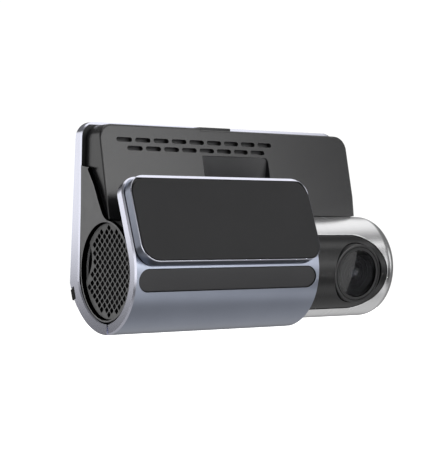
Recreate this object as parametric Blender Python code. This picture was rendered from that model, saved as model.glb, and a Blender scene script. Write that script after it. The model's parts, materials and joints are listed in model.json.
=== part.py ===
"""Windscreen dash camera: a display body that hinges in a stick-on bracket.

The bracket shell wraps the front of a barrel and carries the adhesive mount base. The body turns about
the barrel, and the lens module turns about the same axis at the barrel's right end.

Lengths below are in millimetres and are turned into Blender's metres by MM. The design frame has +X to
the right along the barrel, +Y towards the driver and +Z up, with its zero on the barrel axis at the left
end plane. The whole model is then moved so that the centre of the adhesive pad is the world origin.
"""
import bpy
import bmesh
from math import cos, pi, radians, sin, sqrt, tan

MM = 0.001
GAP = 0.3                     # room kept between neighbouring pieces

# Barrel and overall lengths
CORE_R = 16.9                 # barrel core that the bracket rides on
CORE_WALL = 2.0
CORE_START = 2.6
CORE_END = 75.0
BODY_LENGTH = 112.0           # rear frame, from its left to its right side

# Bracket
BRACKET_R = 21.3              # outer surface of the wrap
BRACKET_WALL = 3.7
BRACKET_START = -0.6
BRACKET_END = 74.8
SEAM_ANGLE = -98.9            # lower edge of the wrap, measured from +Y towards +Z
PLATE_LEAN = 21.0             # the plate is tangent to the wrap and leans back
PLATE_RISE = 25.6             # from the tangent line up to the plate's top edge
PLATE_CORNER = 6.5
BASE_LOW = -5.85              # mount base, along the plate from the tangent line
BASE_HIGH = 24.45
BASE_START = 0.0
BASE_END = 72.7
BASE_HEIGHT = 4.3             # above the plate's outer face
BASE_CORNER = 6.2
RIM_WIDTH = 0.6
PAD_RECESS = 0.6
PAD_PROUD = 0.3
STRIP_CENTRE = -2.4           # height of the dark strip's centre line
STRIP_HALF = 3.7
STRIP_START = 0.9
STRIP_END = 72.9
STRIP_DEPTH = 0.8

# Hinge between bracket and body
LUG_STARTS = (24.0, 46.0)
LUG_WIDTH = 4.0
LUG_R = 4.0
PIN_R = 1.5
PIN_BORE_R = 1.65
PIN_START = 19.9
PIN_END = 53.6
WASHER_THICK = 0.5
EAR_WIDTH = 3.5
EAR_GAP = 0.4                 # between a lug and the ear on its left
WASHER_GAP = 0.9              # between a lug and the ear on its right, with the washer in it
SLOT_HALF = 18.0              # half the angle of the slot that a lug passes through
BEARING_START = 68.5          # wall that carries the lens module's journal
SWING = 13.0                  # how far the body tips in the bracket, in degrees

# Front housing
HOUSING_START = 1.9
HOUSING_END = 109.4
HOUSING_TOP = 49.4
HOUSING_WALL = 1.8
FRONT_FOOT_Y = 0.4            # front face at FRONT_FOOT_Z
FRONT_FOOT_Z = 18.0
FRONT_SLOPE = 0.2157          # how far the front face runs back for each unit of height
HOUSING_CORNER = 5.0
SLOT_LENGTH = 6.1
SLOT_HEIGHT = 1.5
SLOT_PITCH = 7.4
UPPER_SLOTS = (9, 11.2, 44.75)  # count, first centre, height
LOWER_SLOTS = (8, 15.1, 41.85)
BAY_START = 42.6
BAY_END = 71.2
BAY_TOP = 40.0
BAY_FLOOR = 21.5
BAY_DEPTH = 7.0
BAY_WALL = 1.4

# Rear frame
FRAME_TOP = 51.2
REAR_LEAN = 5.0               # lean of the screen side
REAR_Y = 24.75                # rear face at the height of the barrel axis
BAND_Y = 18.3                 # front edge of the side band at the same height
BAND_SLOPE = 0.039
FRAME_CORNER = 5.5
WRAP_LOW_R = 21.3             # outer radius under the barrel
WRAP_REAR_R = 25.5            # outer radius at the lower rear edge
WRAP_LOW_INNER = 17.3
WRAP_END_ANGLE = -94.6
WRAP_REAR_ANGLE = -10.7
SCREEN_LOW = 1.0
SCREEN_HIGH = 48.4
SCREEN_START = 3.2
SCREEN_END = 108.8

# End cap and speaker
CAP_R = 17.0
CAP_OPENING_R = 16.4
CAP_THICK = 1.6
GRILLE_R = 16.1
GRILLE_DEPTH = 0.7            # below the cap's face
GRILLE_THICK = 0.5
GRILLE_PITCH = 5.6
GRILLE_HOLE_R = 2.0

# Keys
KEY_ANGLE = -20.5             # direction that the rear keys face
KEY_CENTRES = (38.0, 50.0, 62.0, 74.0)
KEY_LENGTH = 8.0
KEY_HEIGHT = 1.8
KEY_FACE = 25.8               # how far the keys reach from the barrel axis
KEY_STRIP_FACE = 25.4
KEY_STRIP_THICK = 2.8
KEY_STRIP_HALF = 2.0
KEY_BOARD_FROM = 18.9
KEY_BOARD_TO = 19.5
TOP_KEY_LOW = (43.6, 8.7)     # X and Y of its corners
TOP_KEY_HIGH = (57.2, 13.1)
TOP_KEY_FOOT = 47.6
TOP_KEY_TOP = 50.5

# Lens module
MODULE_R = 18.6
MODULE_WALL = 1.8
MODULE_START = 75.5
MODULE_END = 114.5
MODULE_FILLET = 6.0
MODULE_CLEAR_R = 19.0
LENS_X = 94.6
LENS_PITCH = 8.0              # the lens looks this far below level
WINDOW_R = 13.6
BEZEL_R = 11.0
JOURNAL_R = 9.0

PAD_CENTRE_X = (BASE_START + BASE_END) / 2
PAD_CENTRE_S = (BASE_LOW + BASE_HIGH) / 2
PAD_FACE = BASE_HEIGHT + PAD_PROUD


# ---------------------------------------------------------------- materials

def material(name, colour, roughness, metallic=0.0, alpha=1.0):
    found = bpy.data.materials.new(name)
    found.use_nodes = True
    shader = found.node_tree.nodes["Principled BSDF"]
    shader.inputs["Base Color"].default_value = (*colour, 1.0)
    shader.inputs["Roughness"].default_value = roughness
    shader.inputs["Metallic"].default_value = metallic
    shader.inputs["Alpha"].default_value = alpha
    return found


def make_materials():
    return {
        "frame_blue": material("frame_blue", (0.36, 0.39, 0.48), 0.32, 0.8),
        "housing_grey": material("housing_grey", (0.06, 0.06, 0.065), 0.5),
        "cap_grey": material("cap_grey", (0.2, 0.2, 0.2), 0.45),
        "black_plastic": material("black_plastic", (0.012, 0.012, 0.013), 0.45),
        "pad_foam": material("pad_foam", (0.035, 0.035, 0.036), 0.7),
        "strip_black": material("strip_black", (0.045, 0.045, 0.047), 0.3),
        "brushed_silver": material("brushed_silver", (0.62, 0.62, 0.63), 0.3, 1.0),
        "lens_glass": material("lens_glass", (0.02, 0.02, 0.025), 0.05, 0.0, 0.5),
        "screen_black": material("screen_black", (0.01, 0.01, 0.012), 0.08),
        "display_grey": material("display_grey", (0.15, 0.16, 0.17), 0.4),
        "board_green": material("board_green", (0.02, 0.11, 0.05), 0.5),
        "steel": material("steel", (0.55, 0.55, 0.56), 0.3, 1.0),
        "heatsink_black": material("heatsink_black", (0.05, 0.05, 0.055), 0.4, 0.9),
        "capacitor_sleeve": material("capacitor_sleeve", (0.03, 0.05, 0.12), 0.35),
        "ceramic": material("ceramic", (0.6, 0.52, 0.4), 0.6),
        "cone_paper": material("cone_paper", (0.05, 0.05, 0.05), 0.8),
        "rubber_black": material("rubber_black", (0.015, 0.015, 0.015), 0.75),
        "ribbon_amber": material("ribbon_amber", (0.45, 0.2, 0.04), 0.4),
        "nylon": material("nylon", (0.5, 0.5, 0.47), 0.5),
    }


# ---------------------------------------------------------------- outlines

def arc(radius, start, end, steps, centre=(0.0, 0.0)):
    """Points on an arc, with angles in degrees from the first axis towards the second."""
    points = []
    for step in range(steps + 1):
        angle = radians(start + (end - start) * step / steps)
        points.append((centre[0] + radius * cos(angle), centre[1] + radius * sin(angle)))
    return points


def rounded_rectangle(low, high, radii, steps=5):
    """Outline with radii given as lower left, lower right, upper right, upper left."""
    corners = (
        (low[0], low[1], 1, 1, 180),
        (high[0], low[1], -1, 1, 270),
        (high[0], high[1], -1, -1, 0),
        (low[0], high[1], 1, -1, 90),
    )
    points = []
    for (a, b, toward_a, toward_b, start), radius in zip(corners, radii):
        if radius == 0:
            points.append((a, b))
        else:
            centre = (a + toward_a * radius, b + toward_b * radius)
            points += arc(radius, start, start + 90, steps, centre)
    return points


def stadium(centre, length, height, steps=3):
    radius = height / 2
    reach = length / 2 - radius
    right = arc(radius, -90, 90, steps, (centre[0] + reach, centre[1]))
    left = arc(radius, 90, 270, steps, (centre[0] - reach, centre[1]))
    return right + left


def front_y(height):
    """Outer front face of the housing at a height."""
    return FRONT_FOOT_Y + (height - FRONT_FOOT_Z) * FRONT_SLOPE


def rear_y(height):
    """Outer face of the screen side at a height."""
    return REAR_Y - height * tan(radians(REAR_LEAN))


def band_y(height):
    """Front edge of the rear frame's side band at a height."""
    return BAND_Y - height * BAND_SLOPE


# ---------------------------------------------------------------- solids

def add_object(name, mesh_builder, look, parent, smooth=False):
    mesh = bpy.data.meshes.new(name)
    mesh_builder.to_mesh(mesh)
    mesh_builder.free()
    if smooth:
        mesh.shade_smooth()
        mesh.set_sharp_from_angle(angle=radians(35))
    made = bpy.data.objects.new(name, mesh)
    bpy.context.collection.objects.link(made)
    made.parent = parent
    if look:
        mesh.materials.append(look)
    return made


def prism(name, outline, low, high, axis, parent, look=None, smooth=False):
    """Closed outline extruded along one axis; the outline runs over the other two in X, Y, Z order."""
    place = {
        "X": lambda a, b: (low * MM, a * MM, b * MM),
        "Y": lambda a, b: (a * MM, low * MM, b * MM),
        "Z": lambda a, b: (a * MM, b * MM, low * MM),
    }[axis]
    shift = [(high - low) * MM if letter == axis else 0.0 for letter in "XYZ"]
    builder = bmesh.new()
    face = builder.faces.new([builder.verts.new(place(a, b)) for a, b in outline])
    grown = bmesh.ops.extrude_face_region(builder, geom=[face])
    moved = [item for item in grown["geom"] if isinstance(item, bmesh.types.BMVert)]
    bmesh.ops.translate(builder, vec=shift, verts=moved)
    bmesh.ops.recalc_face_normals(builder, faces=builder.faces)
    return add_object(name, builder, look, parent, smooth)


def block(name, low, high, parent, look=None):
    outline = [(low[1], low[2]), (high[1], low[2]), (high[1], high[2]), (low[1], high[2])]
    return prism(name, outline, low[0], high[0], "X", parent, look)


def turned(name, profile, axis, parent, look=None, steps=32):
    """Closed profile of (radius, height) points spun about the parent's X or Z axis."""
    builder = bmesh.new()
    if axis == "X":
        corners = [builder.verts.new((h * MM, r * MM, 0.0)) for r, h in profile]
        direction = (1, 0, 0)
    else:
        corners = [builder.verts.new((r * MM, 0.0, h * MM)) for r, h in profile]
        direction = (0, 0, 1)
    edges = []
    for index, corner in enumerate(corners):
        following = corners[(index + 1) % len(corners)]
        on_axis = profile[index][0] == 0 and profile[(index + 1) % len(corners)][0] == 0
        if not on_axis:
            edges.append(builder.edges.new((corner, following)))
    bmesh.ops.spin(builder, geom=corners + edges, cent=(0, 0, 0), axis=direction,
                   angle=2 * pi, steps=steps, use_merge=False)
    bmesh.ops.remove_doubles(builder, verts=builder.verts, dist=1e-6)
    loose = [edge for edge in builder.edges if not edge.link_faces]
    bmesh.ops.delete(builder, geom=loose, context="EDGES")
    bmesh.ops.recalc_face_normals(builder, faces=builder.faces)
    return add_object(name, builder, look, parent, smooth=True)


def combine(target, tool, operation):
    modifier = target.modifiers.new(operation.lower(), "BOOLEAN")
    modifier.operation = operation
    modifier.solver = "EXACT"
    modifier.object = tool
    tool.hide_render = True
    tool.display_type = "WIRE"


def cut(target, *tools):
    for tool in tools:
        combine(target, tool, "DIFFERENCE")


def join(target, *tools):
    for tool in tools:
        combine(target, tool, "UNION")


def keep_inside(target, tool):
    combine(target, tool, "INTERSECT")


def empty(name, location, rotation_x, parent):
    made = bpy.data.objects.new(name, None)
    bpy.context.collection.objects.link(made)
    made.location = [value * MM for value in location]
    made.rotation_euler = (radians(rotation_x), 0.0, 0.0)
    made.parent = parent
    return made


def make_frames():
    """Empties that the pieces hang from; the first lies on the barrel axis, the main hinge."""
    lean = radians(PLATE_LEAN)
    tangent = (0.0, -BRACKET_R * cos(lean), BRACKET_R * sin(lean))
    pad_y = tangent[1] + PAD_CENTRE_S * sin(lean) - PAD_FACE * cos(lean)
    pad_z = tangent[2] + PAD_CENTRE_S * cos(lean) + PAD_FACE * sin(lean)
    barrel = empty("barrel_axis", (-PAD_CENTRE_X, -pad_y, -pad_z), 0.0, None)
    return {
        "barrel": barrel,
        "plate": empty("plate_frame", tangent, 90.0 - PLATE_LEAN, barrel),
        "rear": empty("rear_frame_plane", (0.0, REAR_Y, 0.0), REAR_LEAN, barrel),
        "keys": empty("key_frame", (0.0, 0.0, 0.0), KEY_ANGLE, barrel),
        "lens": empty("lens_axis", (LENS_X, 0.0, 0.0), 90.0 + LENS_PITCH, barrel),
    }


# ---------------------------------------------------------------- bracket

def bracket_outline(outer, inner):
    """Side view of the wrap and the plate that rises tangent to it."""
    lean = radians(PLATE_LEAN)
    start = 360.0 + SEAM_ANGLE
    end = 180.0 - PLATE_LEAN
    top = (PLATE_RISE * sin(lean), PLATE_RISE * cos(lean))
    outside = arc(outer, start, end, 18)
    inside = arc(inner, end, start, 18)
    outer_top = (outside[-1][0] + top[0], outside[-1][1] + top[1])
    inner_top = (inside[0][0] + top[0], inside[0][1] + top[1])
    return outside + [outer_top, inner_top] + inside


def make_bracket_shell(frames, look):
    shell = prism("bracket_shell", bracket_outline(BRACKET_R, BRACKET_R - BRACKET_WALL),
                  BRACKET_START, BRACKET_END, "X", frames["barrel"], look, smooth=True)
    corners = rounded_rectangle((BRACKET_START - 1, -45.0), (BRACKET_END + 1, PLATE_RISE),
                                (0, 0, PLATE_CORNER + 1, PLATE_CORNER + 1))
    keep_inside(shell, prism("guide_plate_corners", corners, -50.0, 10.0, "Z", frames["plate"]))
    cut(shell, strip_pocket(frames))
    for number, start in enumerate(LUG_STARTS, 1):
        eye = arc(LUG_R, 90, -90, 8)
        outline = eye + [(-18.7, -LUG_R), (-18.7, LUG_R)]
        join(shell, prism(f"guide_lug_{number}", outline, start, start + LUG_WIDTH, "X",
                          frames["barrel"]))
    bore = turned("cutter_lug_bore", [(0, 20), (PIN_BORE_R, 20), (PIN_BORE_R, 54), (0, 54)],
                  "X", frames["barrel"], steps=20)
    cut(shell, bore)
    for place in screw_places():
        cut(shell, plate_screw_hole(place, frames))
    return shell


def strip_band(name, inner, outer, frames, look=None):
    """Curved band on the front of the wrap, wide enough for the strip."""
    outline = arc(outer, 168, 206, 10) + arc(inner, 206, 168, 10)
    return prism(name, outline, STRIP_START - 2, STRIP_END + 2, "X", frames["barrel"], look,
                 smooth=True)


def strip_outline(margin):
    centre = ((STRIP_START + STRIP_END) / 2, STRIP_CENTRE)
    return stadium(centre, STRIP_END - STRIP_START + 2 * margin, 2 * (STRIP_HALF + margin), 8)


def strip_pocket(frames):
    pocket = strip_band("cutter_strip_pocket", BRACKET_R - STRIP_DEPTH, BRACKET_R + 1.5, frames)
    keep_inside(pocket, prism("guide_strip_pocket", strip_outline(0.0), -26.0, -12.0, "Y",
                              frames["barrel"]))
    return pocket


def make_trim_strip(frames, look):
    strip = strip_band("trim_strip", BRACKET_R - STRIP_DEPTH + GAP, BRACKET_R, frames, look)
    keep_inside(strip, prism("guide_trim_strip", strip_outline(-0.25), -25.0, -13.0, "Y",
                             frames["barrel"]))
    return strip


def make_mount_base(frames, look):
    corners = (BASE_CORNER,) * 4
    outline = rounded_rectangle((BASE_START, BASE_LOW), (BASE_END, BASE_HIGH), corners)
    base = prism("mount_base", outline, -3.0, BASE_HEIGHT, "Z", frames["plate"], look)
    body = bracket_outline(BRACKET_R + GAP, BRACKET_R - 6.0)
    cut(base, prism("cutter_bracket_seat", body, BRACKET_START - 2, BRACKET_END + 2, "X",
                    frames["barrel"]))
    inset = RIM_WIDTH
    recess = rounded_rectangle((BASE_START + inset, BASE_LOW + inset),
                               (BASE_END - inset, BASE_HIGH - inset), (BASE_CORNER - inset,) * 4)
    cut(base, prism("cutter_pad_recess", recess, BASE_HEIGHT - PAD_RECESS, BASE_HEIGHT + 3, "Z",
                    frames["plate"]))
    for number, place in enumerate(screw_places(), 1):
        hole = turned(f"cutter_base_screw_{number}",
                      [(0, -1), (1.2, -1), (1.2, 2.6), (0, 2.6)], "Z", frames["plate"], steps=10)
        hole.location = (place[0] * MM, place[1] * MM, 0.0)
        cut(base, hole)
    return base


def make_adhesive_pad(frames, look):
    inset = RIM_WIDTH + GAP
    outline = rounded_rectangle((BASE_START + inset, BASE_LOW + inset),
                                (BASE_END - inset, BASE_HIGH - inset), (BASE_CORNER - inset,) * 4)
    return prism("adhesive_pad", outline, BASE_HEIGHT - PAD_RECESS + GAP, PAD_FACE, "Z",
                 frames["plate"], look)


def screw_places():
    """Where the four screws hold the mount base, in plate coordinates."""
    return [(x, s) for x in (9.0, 64.0) for s in (4.0, 19.5)]


def plate_screw_hole(place, frames):
    hole = turned(f"cutter_plate_screw_{int(place[0])}_{int(place[1])}",
                  [(0, -6), (2.1, -6), (2.1, -2.2), (1.2, -2.2), (1.2, 1), (0, 1)], "Z",
                  frames["plate"], steps=10)
    hole.location = (place[0] * MM, place[1] * MM, 0.0)
    return hole


def make_base_screws(frames, look):
    profile = [(0, 2.2), (0.9, 2.2), (0.9, -2.5), (1.8, -2.5), (1.8, -3.4), (0, -3.4)]
    for number, place in enumerate(screw_places(), 1):
        screw = turned(f"base_screw_{number}", profile, "Z", frames["plate"], look, steps=12)
        screw.location = (place[0] * MM, place[1] * MM, 0.0)


def make_hinge(frames, looks):
    chamfer = 0.3
    turned("hinge_pin", [(0, PIN_START), (PIN_R - chamfer, PIN_START), (PIN_R, PIN_START + chamfer),
                         (PIN_R, PIN_END - chamfer), (PIN_R - chamfer, PIN_END), (0, PIN_END)],
           "X", frames["barrel"], looks["steel"], steps=20)
    names = ("friction_washer_left", "friction_washer_right")
    for name, start in zip(names, LUG_STARTS):
        low = start + LUG_WIDTH + 0.2
        high = low + WASHER_THICK
        turned(name, [(1.75, low), (3.8, low), (3.8, high), (1.75, high)], "X", frames["barrel"],
               looks["nylon"], steps=12)


# ---------------------------------------------------------------- barrel core

def ear_spans():
    """Ends of the four walls inside the core that the hinge pin runs through."""
    spans = []
    for start in LUG_STARTS:
        spans.append((start - EAR_GAP - EAR_WIDTH, start - EAR_GAP))
        end = start + LUG_WIDTH + WASHER_GAP
        spans.append((end, end + EAR_WIDTH))
    return spans


def core_profile():
    """Tube with the four hinge ears and the lens module's bearing turned in one piece."""
    inner = CORE_R - CORE_WALL
    bearing_r = JOURNAL_R + GAP
    profile = [(CORE_R, CORE_START), (CORE_R, CORE_END), (bearing_r, CORE_END),
               (bearing_r, BEARING_START), (inner, BEARING_START)]
    for low, high in reversed(ear_spans()):
        profile += [(inner, high), (PIN_BORE_R, high), (PIN_BORE_R, low), (inner, low)]
    profile.append((inner, CORE_START))
    return profile


def make_barrel_core(frames, look):
    barrel = frames["barrel"]
    core = turned("barrel_core", core_profile(), "X", barrel, look, steps=36)
    for number, start in enumerate(LUG_STARTS, 1):
        outline = [(0.0, 0.0)] + arc(CORE_R + 3, 180 - SWING - SLOT_HALF, 180 + SLOT_HALF, 6)
        cut(core, prism(f"cutter_lug_slot_{number}", outline, start - EAR_GAP / 2,
                        start + LUG_WIDTH + WASHER_GAP - EAR_GAP / 2, "X", barrel))
    cut(core, block("cutter_wire_way", (8.0, 2.5, 10.5), (67.0, 9.0, 20.0), barrel))
    return core


# ---------------------------------------------------------------- rear frame

def wrap_point(angle, low_radius, rear_radius):
    """Point on the lower wrap, whose radius grows from the bottom seam to the lower rear edge."""
    share = (angle - WRAP_END_ANGLE) / (WRAP_REAR_ANGLE - WRAP_END_ANGLE)
    radius = low_radius + (rear_radius - low_radius) * share * share
    return (radius * cos(radians(angle)), radius * sin(radians(angle)))


def frame_outline():
    steps = 14
    turn = (WRAP_REAR_ANGLE - WRAP_END_ANGLE) / steps
    angles = [WRAP_END_ANGLE + turn * step for step in range(steps + 1)]
    outer = [wrap_point(angle, WRAP_LOW_R, WRAP_REAR_R) for angle in angles]
    inner = [wrap_point(angle, WRAP_LOW_INNER, BAND_Y) for angle in reversed(angles)]
    rim = [(rear_y(FRAME_TOP), FRAME_TOP), (band_y(FRAME_TOP), FRAME_TOP), (BAND_Y, 0.0)]
    return outer + rim + inner


def make_rear_frame(frames, look):
    frame = prism("rear_frame", frame_outline(), 0.0, BODY_LENGTH, "X", frames["barrel"], look,
                  smooth=True)
    corners = rounded_rectangle((0.0, -30.0), (BODY_LENGTH, FRAME_TOP + 0.05),
                                (0, 0, FRAME_CORNER, FRAME_CORNER))
    keep_inside(frame, prism("guide_frame_corners", corners, -10.0, 35.0, "Y", frames["barrel"]))
    opening = rounded_rectangle((SCREEN_START, SCREEN_LOW), (SCREEN_END, SCREEN_HIGH), (3.0,) * 4)
    cut(frame, prism("cutter_screen_opening", opening, 5.0, 30.0, "Y", frames["barrel"]))
    cut(frame, block("cutter_under_module", (CORE_END + 0.1, -30.0, -30.0),
                     (BODY_LENGTH + 5, 30.0, -11.0), frames["barrel"]))
    clear = [(0, CORE_END + 0.1), (MODULE_CLEAR_R, CORE_END + 0.1),
             (MODULE_CLEAR_R, BODY_LENGTH + 5), (0, BODY_LENGTH + 5)]
    cut(frame, turned("cutter_frame_module", clear, "X", frames["barrel"], steps=48))
    cut(frame, prism("cutter_key_slot", stadium((56.0, 0.0), 54.0, 4.4, 4), 15.0, 30.0, "Y",
                     frames["keys"]))
    half = KEY_STRIP_HALF + GAP
    floor = KEY_STRIP_FACE - KEY_STRIP_THICK - GAP
    cut(frame, block("cutter_key_groove", (-5.0, floor, -half), (BODY_LENGTH + 5, 30.0, half),
                     frames["keys"]))
    for number, x in enumerate((12.0, 64.0), 1):
        hole = turned(f"cutter_frame_screw_{number}",
                      [(0, 16), (1.2, 16), (1.2, 19.4), (2.2, 19.4), (2.2, 25), (0, 25)], "Z",
                      frames["barrel"], steps=12)
        stand_at_bottom(hole, x)
        cut(frame, hole)
    return frame


def stand_at_bottom(piece, x):
    """Turn a piece made along +Z so that it points down and back through the lower wrap."""
    piece.location = (x * MM, 0.0, 0.0)
    piece.rotation_euler = (radians(-150.0), 0.0, 0.0)


def make_frame_screws(frames, look):
    profile = [(0, 17.4), (0.9, 17.4), (0.9, 19.7), (1.8, 19.7), (1.8, 20.7), (0, 20.7)]
    for number, x in enumerate((12.0, 64.0), 1):
        screw = turned(f"frame_screw_{number}", profile, "Z", frames["barrel"], look, steps=12)
        stand_at_bottom(screw, x)


# ---------------------------------------------------------------- front housing

def housing_outline(inset):
    """Side view of the wedge; inset moves the front and top walls inwards."""
    top = HOUSING_TOP - inset
    foot = 14.5
    rear_gap = GAP if inset == 0 else -4.0
    low_rear = 4.5 if inset == 0 else 0.0
    return [
        (band_y(low_rear) - rear_gap, low_rear),
        (band_y(top) - rear_gap, top),
        (front_y(top) + inset * 1.03, top),
        (front_y(foot) + inset * 1.03, foot),
    ]


def bay_outline(grow):
    """Side view of the connector bay; grow adds its wall."""
    front = -6.0
    step = BAY_DEPTH + grow
    shoulder = BAY_TOP - 2.0 * BAY_DEPTH + grow
    low = BAY_FLOOR - grow
    return [
        (front, low),
        (front_y(low) + step, low),
        (front_y(shoulder) + step, shoulder),
        (front_y(BAY_TOP) + grow, BAY_TOP + grow),
        (front, BAY_TOP + grow),
    ]


def make_front_housing(frames, look):
    barrel = frames["barrel"]
    housing = prism("front_housing", housing_outline(0.0), HOUSING_START, HOUSING_END, "X", barrel,
                    look)
    corners = rounded_rectangle((HOUSING_START - 0.05, -10.0), (HOUSING_END + 0.05, HOUSING_TOP + 0.05),
                                (0, 0, HOUSING_CORNER, HOUSING_CORNER))
    keep_inside(housing, prism("guide_housing_corners", corners, -15.0, 25.0, "Y", barrel))
    wall = HOUSING_WALL
    hollow = prism("cutter_housing_hollow", housing_outline(wall), HOUSING_START + wall,
                   HOUSING_END - wall, "X", barrel)
    inner = rounded_rectangle((HOUSING_START + wall - 0.05, -12.0),
                              (HOUSING_END - wall + 0.05, HOUSING_TOP - wall + 0.05),
                              (0, 0, HOUSING_CORNER - wall, HOUSING_CORNER - wall))
    keep_inside(hollow, prism("guide_hollow_corners", inner, -15.0, 30.0, "Y", barrel))
    bay_shell = prism("guide_bay_shell", bay_outline(BAY_WALL), BAY_START - BAY_WALL,
                      BAY_END + BAY_WALL, "X", barrel)
    cut(hollow, bay_shell)
    cut(housing, hollow)
    cut(housing, prism("cutter_bay", bay_outline(0.0), BAY_START, BAY_END, "X", barrel))
    cut_vents(housing, barrel)
    seat = [(0, -5), (CORE_R + 0.4, -5), (CORE_R + 0.4, CORE_END), (0, CORE_END)]
    cut(housing, turned("cutter_core_seat", seat, "X", barrel, steps=48))
    clear = [(0, CORE_END - 0.5), (MODULE_CLEAR_R, CORE_END - 0.5), (MODULE_CLEAR_R, 120), (0, 120)]
    cut(housing, turned("cutter_module_seat", clear, "X", barrel, steps=48))
    cut(housing, prism("cutter_usb_hole", stadium((56.3, 26.1), 9.8, 3.9, 3), 6.0, 13.0, "Y", barrel))
    cut(housing, block("cutter_card_slot", (105.0, 9.6, 27.7), (115.0, 11.6, 39.9), barrel))
    key_hole = rounded_rectangle([place - GAP for place in TOP_KEY_LOW],
                                 [place + GAP for place in TOP_KEY_HIGH], (0.8,) * 4, 3)
    cut(housing, prism("cutter_top_key", key_hole, 44.0, 55.0, "Z", barrel))
    return housing


def cut_vents(housing, barrel):
    for row, (count, first, height) in enumerate((UPPER_SLOTS, LOWER_SLOTS), 1):
        for index in range(count):
            centre = (first + SLOT_PITCH * index, height)
            outline = stadium(centre, SLOT_LENGTH, SLOT_HEIGHT)
            cut(housing, prism(f"cutter_vent_{row}_{index + 1}", outline, 2.0, 9.6, "Y", barrel))


def make_vent_baffle(frames, look):
    low, high = 40.4, 46.2
    near, far = 2.5, 3.3
    outline = [
        (front_y(low) + near, low), (front_y(low) + far, low),
        (front_y(high) + far, high), (front_y(high) + near, high),
    ]
    baffle = prism("vent_baffle", outline, 6.5, 75.5, "X", frames["barrel"], look)
    return baffle


# ---------------------------------------------------------------- end cap and speaker

def cap_outline():
    """Teardrop: the ring around the barrel axis with a fin that rises along the screen side."""
    ring = arc(CAP_R, 93, 360, 32)
    fin = [(16.6, 36.0), (12.5, 35.2)]
    nose = arc(1.5, 78, 25, 3, (10.6, 33.7))
    blend = [(7.9, 29.2), (5.1, 24.3), (3.2, 21.1), (1.4, 18.7), (-0.6, 17.3)]
    return ring + fin + nose + blend


def make_end_cap(frames, look):
    cap = prism("end_cap", cap_outline(), 0.0, CAP_THICK, "X", frames["barrel"], look, smooth=True)
    opening = [(0, -2), (CAP_OPENING_R, -2), (CAP_OPENING_R, CAP_THICK + 2), (0, CAP_THICK + 2)]
    cut(cap, turned("cutter_cap_opening", opening, "X", frames["barrel"], steps=36))
    spigot = [(13.4, CAP_THICK + 0.2), (13.4, 6.0), (14.6, 6.0), (14.6, 2.3), (16.9, 2.3),
              (16.9, 1.0), (16.35, 1.0), (16.35, CAP_THICK + 0.2)]
    join(cap, turned("guide_cap_spigot", spigot, "X", frames["barrel"], steps=36))
    return cap


def make_speaker_grille(frames, look):
    low, high = GRILLE_DEPTH, GRILLE_DEPTH + GRILLE_THICK
    disc = [(0, low), (GRILLE_R, low), (GRILLE_R, high), (0, high)]
    grille = turned("speaker_grille", disc, "X", frames["barrel"], look, steps=30)
    cut(grille, grille_holes(frames))
    return grille


def grille_holes(frames):
    """Staggered grid of diamond holes, one prism for each."""
    builder = bmesh.new()
    reach = int(GRILLE_R / GRILLE_PITCH) + 1
    limit = GRILLE_R - GRILLE_HOLE_R - 0.5
    for row in range(-2 * reach, 2 * reach + 1):
        for column in range(-reach, reach + 1):
            y = (column + 0.5 * (row % 2)) * GRILLE_PITCH
            z = row * GRILLE_PITCH / 2
            if sqrt(y * y + z * z) < limit:
                add_diamond(builder, y, z)
    bmesh.ops.recalc_face_normals(builder, faces=builder.faces)
    return add_object("cutter_grille_holes", builder, None, frames["barrel"])


def add_diamond(builder, y, z):
    corners = arc(GRILLE_HOLE_R, 0, 270, 3, (y, z))
    face = builder.faces.new([builder.verts.new((-1 * MM, a * MM, b * MM)) for a, b in corners])
    grown = bmesh.ops.extrude_face_region(builder, geom=[face])
    moved = [item for item in grown["geom"] if isinstance(item, bmesh.types.BMVert)]
    bmesh.ops.translate(builder, vec=(5 * MM, 0, 0), verts=moved)


def make_speaker(frames, looks):
    barrel = frames["barrel"]
    turned("speaker_gasket", [(11.8, 2.6), (13.0, 2.6), (13.0, 3.3), (11.8, 3.3)], "X", barrel,
           looks["rubber_black"], steps=20)
    turned("speaker_basket", [(12.2, 3.6), (13.0, 3.6), (13.0, 5.4), (8.4, 9.6), (7.0, 9.6),
                              (7.0, 8.8), (8.0, 8.8), (12.2, 5.0)], "X", barrel, looks["steel"],
           steps=20)
    turned("speaker_cone", [(0, 5.4), (3.2, 5.8), (6.4, 6.6), (11.8, 3.9), (11.8, 4.4), (6.4, 7.2),
                            (3.2, 6.4), (0, 6.0)], "X", barrel, looks["cone_paper"], steps=20)
    turned("speaker_magnet", [(0, 9.9), (8.2, 9.9), (8.6, 10.3), (8.6, 14.2), (8.2, 14.6),
                              (0, 14.6)], "X", barrel, looks["steel"], steps=20)


# ---------------------------------------------------------------- display and electronics

def layer(name, x_span, z_span, depth_span, frames, look, corner=0.0):
    """Flat piece parallel to the screen; depths are measured forwards from the rear face."""
    outline = rounded_rectangle((x_span[0], z_span[0]), (x_span[1], z_span[1]), (corner,) * 4, 3)
    return prism(name, outline, -depth_span[1], -depth_span[0], "Y", frames["rear"], look)


def make_display(frames, looks):
    layer("screen_glass", (3.6, 108.4), (1.5, 47.9), (0.2, 1.5), frames, looks["screen_black"], 2.6)
    layer("lcd_panel", (14.0, 98.0), (3.0, 46.0), (1.9, 4.4), frames, looks["display_grey"])
    layer("display_ribbon", (48.0, 64.0), (8.0, 26.0), (4.75, 4.95), frames, looks["ribbon_amber"])


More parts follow.
